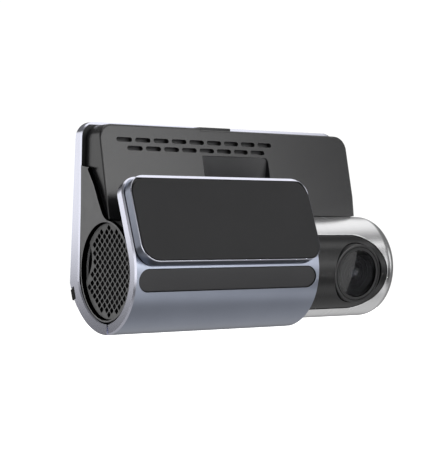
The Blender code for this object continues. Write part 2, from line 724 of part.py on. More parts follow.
def make_main_board(frames, looks):
    layer("main_board", (8.0, 104.0), (20.0, 46.5), (5.4, 6.6), frames, looks["board_green"])
    layer("shield_can", (38.0, 66.0), (31.0, 38.5), (6.9, 8.9), frames, looks["steel"], 0.8)
    layer("microphone", (9.5, 13.5), (21.5, 25.5), (6.9, 8.3), frames, looks["steel"], 1.2)
    layer("modem_module", (13.0, 35.0), (31.0, 38.5), (6.9, 9.1), frames, looks["steel"], 0.8)
    make_heat_sink(frames, looks["heatsink_black"])


def make_heat_sink(frames, look):
    """Finned plate behind the vents, as one comb-shaped outline in X and depth."""
    start, end = 12.0, 68.0
    fins = 10
    pitch = (end - start) / fins
    base, tip = 7.9, 9.2
    comb = [(start, -6.9)]
    for index in range(fins):
        left = start + pitch * index
        comb += [(left, -tip), (left + pitch * 0.45, -tip), (left + pitch * 0.45, -base),
                 (left + pitch, -base)]
    comb.append((end, -6.9))
    prism("heat_sink", comb, 40.5, 46.0, "Z", frames["rear"], look)


def make_power_parts(frames, looks):
    for number, start in enumerate((14.0, 73.0), 1):
        end = start + 19.6
        can = turned(f"supercapacitor_{number}",
                     [(0, start), (3.6, start), (4.0, start + 0.5), (4.0, end - 0.5), (3.6, end),
                      (0, end)], "X", frames["barrel"], looks["capacitor_sleeve"], steps=20)
        can.location = (0.0, 9.5 * MM, 24.4 * MM)
    socket = prism("usb_socket", stadium((56.3, 26.1), 9.0, 3.2, 4), 8.2, 14.2, "Y",
                   frames["barrel"], looks["steel"])
    cut(socket, prism("cutter_usb_mouth", stadium((56.3, 26.1), 8.4, 2.6, 4), 6.0, 12.5, "Y",
                      frames["barrel"]))


def make_antenna(frames, look):
    patch = block("gnss_antenna", (-8.0, -2.0, -8.0), (8.0, 2.0, 8.0), frames["barrel"], look)
    patch.location = (84.0 * MM, 8.7 * MM, 37.2 * MM)
    patch.rotation_euler = (-radians(12.17), 0.0, 0.0)


# ---------------------------------------------------------------- card

def make_card(frames, looks):
    barrel = frames["barrel"]
    low, high = (93.0, 8.6, 26.9), (106.2, 12.4, 40.7)
    holder = block("card_socket", low, high, barrel, looks["steel"])
    cut(holder, block("cutter_card_socket", (93.6, 9.8, 28.0), (107.5, 11.4, 39.6), barrel))
    card = rounded_rectangle((94.0, 28.3), (109.0, 39.3), (0.6, 0.6, 0.6, 2.0), 2)
    prism("memory_card", card, 10.1, 11.1, "Y", barrel, looks["black_plastic"])


# ---------------------------------------------------------------- keys

def make_keys(frames, looks):
    strip = block("key_strip", (GAP, KEY_STRIP_FACE - KEY_STRIP_THICK, -KEY_STRIP_HALF),
                  (BODY_LENGTH - GAP, KEY_STRIP_FACE, KEY_STRIP_HALF), frames["keys"],
                  looks["black_plastic"])
    board = prism("key_board", stadium((56.0, 0.0), 53.0, 3.4, 3), KEY_BOARD_FROM, KEY_BOARD_TO, "Y",
                  frames["keys"], looks["board_green"])
    travel_room = 0.7
    key_foot = KEY_FACE - 3.9
    names = ("menu_key", "up_key", "down_key", "ok_key")
    for name, x in zip(names, KEY_CENTRES):
        hole = stadium((x, 0.0), KEY_LENGTH + 0.5, KEY_HEIGHT + 0.5, 3)
        cut(strip, prism(f"cutter_{name}", hole, 20.0, 27.0, "Y", frames["keys"]))
        join(board, block(f"guide_switch_{name}", (x - 1.6, KEY_BOARD_TO - 0.2, -1.2),
                          (x + 1.6, key_foot - travel_room, 1.2), frames["keys"]))
        key = prism(name, stadium((0.0, 0.0), KEY_LENGTH, KEY_HEIGHT, 4), 0.0, 3.9, "Y",
                    frames["keys"], looks["housing_grey"])
        key.location = (x * MM, key_foot * MM, 0.0)


def make_top_key(frames, look):
    outline = rounded_rectangle(TOP_KEY_LOW, TOP_KEY_HIGH, (0.6,) * 4, 3)
    return prism("top_key", outline, TOP_KEY_FOOT, TOP_KEY_TOP, "Z", frames["barrel"], look)


# ---------------------------------------------------------------- lens module

def window_outline(radius, left):
    """Window in the lens's own view: open towards the bracket, round towards the free end."""
    return arc(radius, -90, 90, 16) + [(left, radius), (left, -radius)]


def make_lens_housing(frames, look):
    start, end, radius = MODULE_START, MODULE_END, MODULE_R
    round_r = MODULE_FILLET
    inner = radius - MODULE_WALL
    inner_round = round_r - MODULE_WALL
    outside = arc(round_r, 0, 90, 5, (radius - round_r, end - round_r))
    inside = arc(inner_round, 90, 0, 4, (inner - inner_round, end - round_r))
    profile = [(radius, start)] + outside + [(0, end), (0, end - MODULE_WALL)] + inside
    profile.append((inner, start))
    housing = turned("lens_housing", profile, "X", frames["barrel"], look, steps=48)
    cut(housing, prism("cutter_window", window_outline(WINDOW_R, -25.0), 7.0, 25.0, "Z",
                       frames["lens"]))
    return housing


def make_window_cover(frames, look):
    tube = [(MODULE_R - 1.5, MODULE_START + 0.3), (MODULE_R - 0.05, MODULE_START + 0.3),
            (MODULE_R - 0.05, 109.5), (MODULE_R - 1.5, 109.5)]
    cover = turned("window_cover", tube, "X", frames["barrel"], look, steps=48)
    keep_inside(cover, prism("guide_window", window_outline(WINDOW_R - GAP, -24.0), 6.0, 25.0, "Z",
                             frames["lens"]))
    hole = [(0, 5), (BEZEL_R + GAP, 5), (BEZEL_R + GAP, 24), (0, 24)]
    cut(cover, turned("cutter_lens_hole", hole, "Z", frames["lens"], steps=36))
    return cover


def make_lens_stack(frames, looks):
    lens = frames["lens"]
    turned("lens_bezel", [(8.9, 10.5), (BEZEL_R, 10.5), (BEZEL_R, 17.2), (BEZEL_R - 0.7, 17.9),
                          (BEZEL_R - 1.2, 17.9), (8.9, 15.6)], "Z", lens, looks["black_plastic"],
           steps=36)
    dome = [(8.5 * sin(radians(a)), 13.9 + 1.1 + 1.9 * cos(radians(a))) for a in (0, 20, 40, 60, 90)]
    turned("front_lens", dome + [(8.5, 13.9), (0, 13.9)], "Z", lens, looks["lens_glass"], steps=24)
    turned("lens_barrel", [(6.2, 2.0), (8.0, 2.0), (8.0, 13.5), (6.2, 13.5)], "Z", lens,
           looks["black_plastic"], steps=20)
    turned("inner_lens_front", [(0, 9.0), (5.8, 9.6), (5.8, 11.0), (0, 11.8)], "Z", lens,
           looks["lens_glass"], steps=16)
    turned("inner_lens_rear", [(0, 4.2), (5.8, 4.2), (5.8, 5.6), (0, 6.4)], "Z", lens,
           looks["lens_glass"], steps=16)
    turned("lens_holder", [(8.4, -1.4), (10.0, -1.4), (10.0, 7.0), (8.4, 7.0)], "Z", lens,
           looks["black_plastic"], steps=20)
    block("image_sensor", (-4.5, -3.5, -1.4), (4.5, 3.5, -0.2), lens, looks["display_grey"])
    block("sensor_board", (-11.0, -10.5, -3.0), (11.0, 10.5, -1.8), lens, looks["board_green"])


def make_journal(frames, looks):
    barrel = frames["barrel"]
    profile = [(6.5, 66.0), (JOURNAL_R, 66.0), (JOURNAL_R, 67.0), (8.0, 67.0), (8.0, 68.0),
               (JOURNAL_R, 68.0), (JOURNAL_R, 71.0), (8.0, 71.0), (8.0, 72.6), (JOURNAL_R, 72.6),
               (JOURNAL_R, 76.0), (16.1, 76.0), (16.1, 77.6), (6.5, 77.6)]
    turned("module_journal", profile, "X", barrel, looks["black_plastic"], steps=24)
    ring = arc(0.4, 0, 300, 5, (8.75, 71.8))
    turned("friction_o_ring", ring, "X", barrel, looks["rubber_black"], steps=24)
    turned("retaining_ring", [(8.3, 67.2), (11.0, 67.2), (11.0, 67.8), (8.3, 67.8)], "X", barrel,
           looks["steel"], steps=24)


# ---------------------------------------------------------------- assembly

def clear_scene():
    for old in list(bpy.data.objects):
        bpy.data.objects.remove(old, do_unlink=True)


def main():
    clear_scene()
    looks = make_materials()
    frames = make_frames()
    make_bracket_shell(frames, looks["frame_blue"])
    make_mount_base(frames, looks["frame_blue"])
    make_adhesive_pad(frames, looks["pad_foam"])
    make_trim_strip(frames, looks["strip_black"])
    make_base_screws(frames, looks["steel"])
    make_hinge(frames, looks)
    make_barrel_core(frames, looks["black_plastic"])
    make_rear_frame(frames, looks["frame_blue"])
    make_frame_screws(frames, looks["steel"])
    make_front_housing(frames, looks["housing_grey"])
    make_vent_baffle(frames, looks["housing_grey"])
    make_end_cap(frames, looks["cap_grey"])
    make_speaker_grille(frames, looks["cap_grey"])
    make_speaker(frames, looks)
    make_display(frames, looks)
    make_main_board(frames, looks)
    make_power_parts(frames, looks)
    make_antenna(frames, looks["ceramic"])
    make_card(frames, looks)
    make_keys(frames, looks)
    make_top_key(frames, looks["housing_grey"])
    make_lens_housing(frames, looks["brushed_silver"])
    make_window_cover(frames, looks["strip_black"])
    make_lens_stack(frames, looks)
    make_journal(frames, looks)


main()
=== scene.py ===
"""Looks of the windscreen dash camera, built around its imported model.

Lengths are in millimetres from the barrel axis at the left end plane, as +X right, +Y towards the driver
and +Z up, and world() turns them into the frame's metres. A Solid is modelled flat, as rings of points
(a, b) at depths n, and place() functions bend it onto the barrel, the plate or the screen side.
"""
import json
from math import asin, cos, degrees, hypot, pi, radians, sin, sqrt, tan

import bmesh
import bpy
from mathutils import Matrix, Vector

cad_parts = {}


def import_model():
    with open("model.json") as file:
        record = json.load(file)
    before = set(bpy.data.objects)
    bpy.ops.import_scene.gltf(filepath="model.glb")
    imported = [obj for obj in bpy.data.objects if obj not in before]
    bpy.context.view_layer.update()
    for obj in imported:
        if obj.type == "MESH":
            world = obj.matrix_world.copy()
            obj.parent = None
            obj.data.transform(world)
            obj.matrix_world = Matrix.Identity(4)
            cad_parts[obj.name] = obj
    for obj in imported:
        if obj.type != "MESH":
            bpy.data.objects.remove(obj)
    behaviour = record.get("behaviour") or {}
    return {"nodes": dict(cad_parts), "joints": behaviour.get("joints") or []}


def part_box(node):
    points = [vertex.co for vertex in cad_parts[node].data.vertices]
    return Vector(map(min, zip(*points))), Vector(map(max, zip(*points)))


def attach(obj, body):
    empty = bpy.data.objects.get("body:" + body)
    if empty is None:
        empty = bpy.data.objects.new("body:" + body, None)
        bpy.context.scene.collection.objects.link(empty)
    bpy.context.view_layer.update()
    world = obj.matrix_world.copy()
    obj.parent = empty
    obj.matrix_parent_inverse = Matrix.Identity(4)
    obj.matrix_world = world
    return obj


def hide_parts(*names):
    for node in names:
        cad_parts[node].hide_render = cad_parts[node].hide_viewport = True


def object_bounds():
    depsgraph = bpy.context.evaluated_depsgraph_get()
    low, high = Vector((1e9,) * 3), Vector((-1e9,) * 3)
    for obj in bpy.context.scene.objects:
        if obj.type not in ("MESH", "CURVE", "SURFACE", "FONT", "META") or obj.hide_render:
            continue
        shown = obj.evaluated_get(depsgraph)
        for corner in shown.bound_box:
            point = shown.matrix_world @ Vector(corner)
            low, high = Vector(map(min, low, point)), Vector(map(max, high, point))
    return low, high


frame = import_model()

CAD_LOW, CAD_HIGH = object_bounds()
MM = 0.001
HINGE = next(joint for joint in frame["joints"] if joint["name"] == "body_tilt")["pos_m"]
ORIGIN = Vector((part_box("rear_frame")[0].x, HINGE[1], HINGE[2]))


def span(node, axis):
    """Lowest and highest coordinate of a CAD node, in millimetres from the barrel axis."""
    low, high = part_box(node)
    return ((low[axis] - ORIGIN[axis]) / MM, (high[axis] - ORIGIN[axis]) / MM)


# Bracket and mount base
BRACKET_START, BRACKET_END = span("bracket_shell", 0)
BRACKET_R = 21.3
BRACKET_WALL = 3.7
SEAM_ANGLE = 261.1
PLATE_LEAN = 21.0
PLATE_RISE = 25.6
PLATE_CORNER = 6.5
BASE_START, BASE_END = span("mount_base", 0)
BASE_LOW, BASE_HIGH = -5.85, 24.45
BASE_HEIGHT = 4.3
BASE_CORNER = 6.2
PAD_TOP = 4.6
STRIP_START, STRIP_END = span("trim_strip", 0)
STRIP_LOW, STRIP_HIGH = span("trim_strip", 2)
STRIP_TRIM = (0.45, 0.2)  # how far the strip reaches past its CAD box, below and above
CHAMFER, TOP_BEVEL = 0.55, 1.2  # edge of the plate: all round, and along its top
RIM_BEVEL = 0.85  # bevel along the top of the base's rim
LUG_STARTS, LUG_WIDTH, PIN_BORE_R = (24.0, 46.0), 4.0, 1.65

# Camera body
BODY_START, BODY_END = span("rear_frame", 0)
FRAME_TOP = span("rear_frame", 2)[1]
REAR_Y, REAR_LEAN = 24.75, 5.0
BAND_Y, BAND_SLOPE = 18.3, 0.039
FRAME_CORNER = 5.5
WRAP_ANGLES = (-94.6, -10.7)
REAR_TURN = radians(-WRAP_ANGLES[1])
WRAP_LOW_R, WRAP_INNER_R = 21.3, 17.3
WRAP_REAR_R = REAR_Y / (cos(REAR_TURN) - sin(REAR_TURN) * tan(radians(REAR_LEAN)))
BAND_LOW_R = BAND_Y / (cos(REAR_TURN) - sin(REAR_TURN) * BAND_SLOPE)
WRAP_LENGTH = 33.4
HOUSING_START, HOUSING_END = span("front_housing", 0)
HOUSING_TOP = span("front_housing", 2)[1]
HOUSING_WALL = 1.8
TOP_KEY = span("top_key", 0) + span("top_key", 1)
TOP_KEY_TOP = span("top_key", 2)[1]
KEY_STRIP_FACE, KEY_STRIP_THICK, KEY_STRIP_HALF = 25.4, 2.8, 2.0
KEY_FACE, KEY_FOOT = 25.8, 21.9
HOUSING_CORNER = 5.0
FOOT_Y, FOOT_Z, FRONT_SLOPE = 0.4, 18.0, 0.2157
SEAT_R, MODULE_SEAT_R, SEAT_STEP = 17.3, 19.0, 74.5
VENT_ROWS = ((9, 11.2, 44.75), (8, 15.1, 41.85))  # count, first X and height of each row
VENT_STEP, VENT_SIZE = 7.4, (6.1, 1.5)
BAY_LOW, BAY_HIGH = (42.6, 21.5), (71.2, 40.0)
PORT_CENTRE, PORT_SIZE = (56.3, 24.9), (9.8, 3.9)
CAP_THICK = 1.6

# Screen side
SCREEN_LOW, SCREEN_HIGH = (3.6, 1.5), (108.4, 47.9)
KEY_ANGLE = -20.5  # direction that the rear keys face
KEY_PLACES = {"menu_key": 38.0, "up_key": 50.0, "down_key": 62.0, "ok_key": 74.0}
FRAME_SCREWS, SCREW_ANGLE = (12.0, 64.0), -60.0

# Lens module
MODULE_START, MODULE_END = span("lens_housing", 0)
MODULE_R = span("lens_housing", 2)[1]
MODULE_FILLET = 6.0
LENS_X = 94.9
LENS_ANGLE = 186.8
WINDOW_R = 13.6
BEZEL_R = 10.65


# -------- places

def world(x, y, z):
    return ORIGIN + Vector((x, y, z)) * MM


LEAN = radians(PLATE_LEAN)
PLATE = (Matrix.Translation((0, -BRACKET_R * cos(LEAN), BRACKET_R * sin(LEAN)))
         @ Matrix.Rotation(radians(90 - PLATE_LEAN), 4, "X"))
REAR = Matrix.Translation((0, REAR_Y, 0)) @ Matrix.Rotation(radians(REAR_LEAN), 4, "X")
KEYS = Matrix.Rotation(radians(KEY_ANGLE), 4, "X")
LENS = Matrix.Translation((LENS_X, 0, 0)) @ Matrix.Rotation(radians(LENS_ANGLE - 90), 4, "X")


def wrap_place(x, u, n):
    """Bends the flat bracket: u runs up the plate, and below zero down round the barrel."""
    if u >= 0:
        return PLATE @ Vector((x, u, n))
    angle = radians(180 - PLATE_LEAN) - u / BRACKET_R
    return Vector((x, (BRACKET_R + n) * cos(angle), (BRACKET_R + n) * sin(angle)))


def base_place(x, s, n):
    """Stands the mount base on the plate, with its lower side following the round of the wrap."""
    if s < 0:
        drop = BRACKET_R - sqrt(BRACKET_R ** 2 - s * s)
        n -= drop * max(0.0, 1.0 - n / BASE_HEIGHT)
    return PLATE @ Vector((x, s, n))


def band_y(z):
    return BAND_Y - z * BAND_SLOPE


def rear_y(z):
    return REAR_Y - z * tan(radians(REAR_LEAN))


def frame_place(x, t, w):
    """Rear frame: t runs from the seam round the barrel and up the screen side, w from front to rear."""
    low, high = WRAP_ANGLES
    if t <= WRAP_LENGTH:
        share = t / WRAP_LENGTH
        angle = radians(low + (high - low) * share)
        outer_r = WRAP_LOW_R + (WRAP_REAR_R - WRAP_LOW_R) * share * share
        inner_r = WRAP_INNER_R + (BAND_LOW_R - WRAP_INNER_R) * share * share
        outer = Vector((outer_r * cos(angle), outer_r * sin(angle)))
        inner = Vector((inner_r * cos(angle), inner_r * sin(angle)))
    else:
        start = radians(high)
        low_outer, low_inner = WRAP_REAR_R * sin(start), BAND_LOW_R * sin(start)
        share = (t - WRAP_LENGTH) / (FRAME_TOP - low_outer)
        z_outer = low_outer + (FRAME_TOP - low_outer) * share
        z_inner = low_inner + (FRAME_TOP - low_inner) * share
        outer = Vector((rear_y(z_outer), z_outer))
        inner = Vector((band_y(z_inner), z_inner))
    if x > MODULE_START - 0.4 and inner.length < MODULE_SEAT_R + 0.05:
        inner *= (MODULE_SEAT_R + 0.05) / inner.length
    point = inner.lerp(outer, w)
    return Vector((x, point.x, point.y))


def wrap_t(angle):
    """Flat position of a direction from the barrel axis, in degrees from +Y towards +Z."""
    return WRAP_LENGTH * (angle - WRAP_ANGLES[0]) / (WRAP_ANGLES[1] - WRAP_ANGLES[0])


def frame_t(z):
    """Flat position of a height on the screen side of the rear frame."""
    return WRAP_LENGTH + z - WRAP_REAR_R * sin(radians(WRAP_ANGLES[1]))


def front_y(z, x=0.0):
    """Front surface of the housing, which rests on the barrel below its foot."""
    seat = SEAT_R if x < SEAT_STEP else MODULE_SEAT_R
    lean = FOOT_Y + (z - FOOT_Z) * FRONT_SLOPE
    if z < seat:
        return max(lean, sqrt(seat * seat - z * z))
    return lean


BACK = 100.0  # depth that stands for the housing's rear edge


def housing_place(x, z, n):
    """Depth n runs back from the front face; where the barrel leaves no depth, a thin skin stays."""
    rear = band_y(z) - 0.3
    if n > BACK / 2:
        return Vector((x, rear + n - BACK, z))
    return Vector((x, min(front_y(z, x) + n, rear - 0.38 + 0.02 * n), z))


def module_radius(t):
    """Radius, X and turn of the lens housing's outer profile at a distance t along it."""
    straight = MODULE_END - MODULE_FILLET - MODULE_START
    bend = MODULE_FILLET * pi / 2
    if t <= straight:
        return (MODULE_R, MODULE_START + t, 0.0)
    if t <= straight + bend:
        turn = (t - straight) / MODULE_FILLET
        return (MODULE_R - MODULE_FILLET * (1 - cos(turn)),
                MODULE_END - MODULE_FILLET * (1 - sin(turn)), turn)
    return (max(0.0, MODULE_R - MODULE_FILLET - (t - straight - bend)), MODULE_END, pi / 2)


MODULE_T_END = MODULE_END - MODULE_START - MODULE_FILLET + MODULE_FILLET * pi / 2 + MODULE_R - MODULE_FILLET
MODULE_ROUND = 2 * pi * MODULE_R


def module_place(t, b, n):
    """Rolls a flat sheet round the barrel axis; b starts at the rear and runs over the top to the front."""
    radius, x, turn = module_radius(t)
    angle = b / MODULE_R
    r = max(0.0, radius + n * cos(turn))
    return Vector((x + n * sin(turn), r * cos(angle), r * sin(angle)))


def module_b(height):
    """Flat position round the barrel of a height above the lens axis."""
    return MODULE_R * (radians(LENS_ANGLE) - asin(height / MODULE_R))


# -------- outlines

def arc(radius, start, end, steps, centre=(0.0, 0.0)):
    points = []
    for step in range(steps + 1):
        angle = radians(start + (end - start) * step / steps)
        points.append((centre[0] + radius * cos(angle), centre[1] + radius * sin(angle)))
    return points


def rounded(low, high, radii, inset=0.0, steps=12):
    """Rectangle with corner radii given as lower left, lower right, upper right, upper left."""
    corners = ((low[0], low[1], 1, 1, 180), (high[0], low[1], -1, 1, 270),
               (high[0], high[1], -1, -1, 0), (low[0], high[1], 1, -1, 90))
    points = []
    for (a, b, toward_a, toward_b, start), radius in zip(corners, radii):
        centre = (a + toward_a * radius, b + toward_b * radius)
        points += arc(max(radius - inset, 0.02), start, start + 90, steps, centre)
    return points


def stadium(centre, length, height, inset=0.0, steps=16):
    radius = height / 2 - inset
    reach = (length - height) / 2
    right = arc(radius, -90, 90, steps, (centre[0] + reach, centre[1]))
    left = arc(radius, 90, 270, steps, (centre[0] - reach, centre[1]))
    return right + left


def circle(radius, steps=64, centre=(0.0, 0.0)):
    return arc(radius, 0, 360 - 360 / steps, steps - 1, centre)


def offset(points, inset):
    """Moves each edge of a closed counter-clockwise outline inwards and joins them again."""
    moved = []
    count = len(points)
    for index in range(count):
        before, here, after = (Vector(points[(index + k) % count]) for k in (-1, 0, 1))
        first = (here - before).normalized()
        second = (after - here).normalized()
        normal = Vector((-first.y - second.y, first.x + second.x)).normalized()
        scale = max(0.3, normal.dot(Vector((-first.y, first.x))))
        point = here + normal * (inset / scale)
        moved.append((point.x, point.y))
    return moved


def smooth_curve(points, steps):
    """Catmull-Rom curve through points, without its first and last ones."""
    made = []
    for index in range(1, len(points) - 2):
        a, b, c, d = (Vector(points[index + k]) for k in (-1, 0, 1, 2))
        for step in range(steps):
            t = step / steps
            p = 0.5 * (2 * b + (c - a) * t + (2 * a - 5 * b + 4 * c - d) * t ** 2
                       + (3 * b - a - 3 * c + d) * t ** 3)
            made.append((p.x, p.y))
    made.append(tuple(points[-2]))
    return made


def steps_between(low, high, pitch):
    count = max(1, round((high - low) / pitch))
    return [low + (high - low) * k / count for k in range(1, count)]


# -------- solids

class Solid:
    """A closed mesh made of rings and filled faces in a flat layout."""

    def __init__(self):
        self.mesh = bmesh.new()
        self.depth = self.mesh.verts.layers.float.new("depth")

    def ring(self, points, depth):
        made = []
        for a, b in points:
            made.append(self.mesh.verts.new((a, b, 0.0)))
            made[-1][self.depth] = depth(a, b) if callable(depth) else depth
        return made

    def wall(self, first, second, look=0):
        for index in range(len(first)):
            after = (index + 1) % len(first)
            face = self.mesh.faces.new((first[index], first[after], second[after], second[index]))
            face.material_index = look

    def rings(self, *steps):
        """Rings joined in order; each step is (points, depth) and, from the second on, the wall's look."""
        loops = [self.ring(steps[0][0], steps[0][1])]
        for step in steps[1:]:
            loops.append(self.ring(step[0], step[1]))
            self.wall(loops[-2], loops[-1], step[2] if len(step) > 2 else 0)
        return loops[0], loops[-1]

    def pocket(self, centre, size, lip, depths, steps, look=0):
        """Slot with round ends and a lip round its mouth; depths are of the mouth, the lip and the end."""
        side = stadium(centre, *size, 0.0, steps)
        mouth = stadium(centre, *size, -lip, steps)
        return self.rings((mouth, depths[0]), (side, depths[1], look), (side, depths[2], look))

    def fill(self, *loops, look=0):
        edges = []
        for loop in loops:
            for index in range(len(loop)):
                pair = (loop[index], loop[(index + 1) % len(loop)])
                edges.append(self.mesh.edges.get(pair) or self.mesh.edges.new(pair))
        made = bmesh.ops.triangle_fill(self.mesh, use_beauty=True, use_dissolve=False, edges=edges)
        for item in made["geom"]:
            if isinstance(item, bmesh.types.BMFace):
                item.material_index = look

    def block(self, *steps, looks=(0, 0)):
        """Rings joined in order, with both ends filled."""
        first, last = self.rings(*steps)
        self.fill(first, look=looks[0])
        self.fill(last, look=looks[1])
        return self

    def cut(self, axis, places):
        direction = [(1, 0, 0), (0, 1, 0)][axis]
        for place in places:
            geometry = self.mesh.verts[:] + self.mesh.edges[:] + self.mesh.faces[:]
            point = [value * place for value in direction]
            bmesh.ops.bisect_plane(self.mesh, geom=geometry, plane_co=point, plane_no=direction, dist=1e-5)

    def stand(self):
        for corner in self.mesh.verts:
            corner.co.z = corner[self.depth]

    def make(self, name, place, looks, cuts_a=(), cuts_b=()):
        self.stand()
        self.cut(0, cuts_a)
        self.cut(1, cuts_b)
        for corner in self.mesh.verts:
            corner.co = world(*place(*corner.co))
        return finish_mesh(self.mesh, name, looks)


def finish_mesh(builder, name, looks):
    bmesh.ops.remove_doubles(builder, verts=builder.verts, dist=2e-7)
    bmesh.ops.dissolve_degenerate(builder, edges=builder.edges, dist=1e-7)
    bmesh.ops.recalc_face_normals(builder, faces=builder.faces)
    mesh = bpy.data.meshes.new(name)
    builder.to_mesh(mesh)
    builder.free()
    for look in looks:
        mesh.materials.append(LOOKS[look].material)
    shade(mesh)
    return link_object(name, mesh)


def link_object(name, data):
    made = bpy.data.objects.new(name, data)
    bpy.context.scene.collection.objects.link(made)
    return made


def shade(mesh):
    mesh.shade_smooth()
    mesh.set_sharp_from_angle(angle=radians(13))


def along_z(x, y, z):
    """Place for a flat layout of X and Y whose depth runs along Z."""
    return Vector((x, y, z))


def along_y(matrix):
    """Place for a flat layout of X and Z whose depth runs along Y, turned by a matrix."""
    return lambda a, b, n: matrix @ Vector((a, n, b))


def along_x(x, y, z):
    """Place for a flat layout of Y and Z whose depth runs along X."""
    return Vector((z, x, y))


def turned(name, profile, matrix, looks, steps):
    """Profile of (radius, height, look) points spun about Z, and closed unless both ends are on it."""
    builder = bmesh.new()
    rings = []
    for radius, height, *_ in profile:
        ring = []
        for step in range(steps if radius > 0 else 1):
            angle = 2 * pi * step / steps
            point = Vector((radius * cos(angle), radius * sin(angle), height))
            ring.append(builder.verts.new(world(*(matrix @ point))))
        rings.append(ring)
    closed = profile[0][0] > 0 or profile[-1][0] > 0
    for index in range(len(rings) if closed else len(rings) - 1):
        first, second = rings[index], rings[(index + 1) % len(rings)]
        look = profile[index][2] if len(profile[index]) > 2 else 0
        for step in range(steps):
            after = (step + 1) % steps
            corners = [first[step % len(first)], first[after % len(first)],
                       second[after % len(second)], second[step % len(second)]]
            unique = list(dict.fromkeys(corners))
            if len(unique) > 2:
                builder.faces.new(unique).material_index = look
    return finish_mesh(builder, name, looks)


def carve(piece, *cutters):
    """Cuts closed pieces out of another and removes them."""
    for cutter in cutters:
        modifier = piece.modifiers.new("carve", "BOOLEAN")
        modifier.operation = "DIFFERENCE"
        modifier.solver = "EXACT"
        modifier.object = cutter
    bpy.context.view_layer.update()
    graph = bpy.context.evaluated_depsgraph_get()
    carved = bpy.data.meshes.new_from_object(piece.evaluated_get(graph))
    piece.modifiers.clear()
    piece.data = carved
    for cutter in cutters:
        bpy.data.objects.remove(cutter, do_unlink=True)
    shade(carved)


def place_piece(piece, body, slot, *nodes):
    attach(piece, body)
    if nodes:
        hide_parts(*nodes)


# -------- materials

class Look:
    """One procedural material; every pattern is in the piece's own coordinates, in metres."""

    def __init__(self, name, colour, roughness, metallic=0.0, specular=0.5):
        self.material = bpy.data.materials.new(name)
        self.material.use_nodes = True
        self.nodes = self.material.node_tree.nodes
        self.links = self.material.node_tree.links
        self.shader = self.nodes["Principled BSDF"]
        self.colour = colour
        self.roughness = roughness
        self.set("Base Color", (*colour, 1.0))
        self.set("Roughness", roughness)
        self.set("Metallic", metallic)
        self.set("Specular IOR Level", specular)
        self.material.diffuse_color = (*colour, 1.0)

    def set(self, name, value):
        self.shader.inputs[name].default_value = value
        return self

    def node(self, kind, **values):
        made = self.nodes.new(kind)
        for name, value in values.items():
            setattr(made, name, value)
        return made

    def noise(self, scale, detail, stretch):
        place = self.node("ShaderNodeTexCoord")
        mapping = self.node("ShaderNodeMapping")
        mapping.inputs["Scale"].default_value = stretch
        pattern = self.node("ShaderNodeTexNoise")
        pattern.inputs["Scale"].default_value = scale
        pattern.inputs["Detail"].default_value = detail
        self.links.new(place.outputs["Object"], mapping.inputs["Vector"])
        self.links.new(mapping.outputs["Vector"], pattern.inputs["Vector"])
        return pattern.outputs["Fac"]

    def spread(self, value, low, high):
        reach = self.node("ShaderNodeMapRange")
        for name, limit in (("From Min", 0.3), ("From Max", 0.7), ("To Min", low), ("To Max", high)):
            reach.inputs[name].default_value = limit
        self.links.new(value, reach.inputs["Value"])
        return reach.outputs["Result"]

    def mottle(self, scale, amount, stretch=(1.0, 1.0, 1.0)):
        """Slow variation of the colour by a share of it."""
        mix = self.node("ShaderNodeMix", data_type="RGBA")
        for name, share in (("A", 1 - amount), ("B", 1 + amount)):
            mix.inputs[name].default_value = (*(min(1.0, part * share) for part in self.colour), 1.0)
        self.links.new(self.spread(self.noise(scale, 3.0, stretch), 0.0, 1.0), mix.inputs["Factor"])
        self.links.new(mix.outputs["Result"], self.shader.inputs["Base Color"])
        return self

    def rough(self, scale, amount, stretch=(1.0, 1.0, 1.0)):
        low = max(0.02, self.roughness - amount)
        value = self.spread(self.noise(scale, 3.0, stretch), low, self.roughness + amount)
        self.links.new(value, self.shader.inputs["Roughness"])
        return self

    def grain(self, scale, depth, stretch=(1.0, 1.0, 1.0)):
        """Fine relief, with its depth in millimetres."""
        bump = self.node("ShaderNodeBump")
        bump.inputs["Strength"].default_value = 1.0
        bump.inputs["Distance"].default_value = depth * MM
        self.links.new(self.noise(scale, 2.0, stretch), bump.inputs["Height"])
        self.links.new(bump.outputs["Normal"], self.shader.inputs["Normal"])
        return self

    def brushed(self, amount):
        """Stretches the highlight across fine rings round the X axis."""
        self.set("Anisotropic", amount)
        tangent = self.node("ShaderNodeTangent", direction_type="RADIAL", axis="X")
        self.links.new(tangent.outputs["Tangent"], self.shader.inputs["Tangent"])
        return self

    def clear(self, index):
        self.set("Transmission Weight", 1.0)
        return self.set("IOR", index)


RINGS = (1.0, 0.005, 0.005)  # stretches a pattern into rings round the barrel axis


def surface(name, colour, roughness, metallic, specular, mottle, rough=None, grain=None):
    """Look with its colour, roughness and relief varied; each pattern is (scale, amount, stretch)."""
    look = Look(name, colour, roughness, metallic, specular).mottle(*mottle)
    if rough:
        look.rough(*rough)
    if grain:
        look.grain(*grain)
    return look


def simple(name, colour, roughness, metallic=0.0, scale=800.0, amount=0.08, relief=0.002):
    """Plain finish of a part that is mostly hidden."""
    mottle, rough, grain = (scale, amount), (scale, 0.04), (4 * scale, relief)
    return surface(name, colour, roughness, metallic, 0.5, mottle, rough, grain)


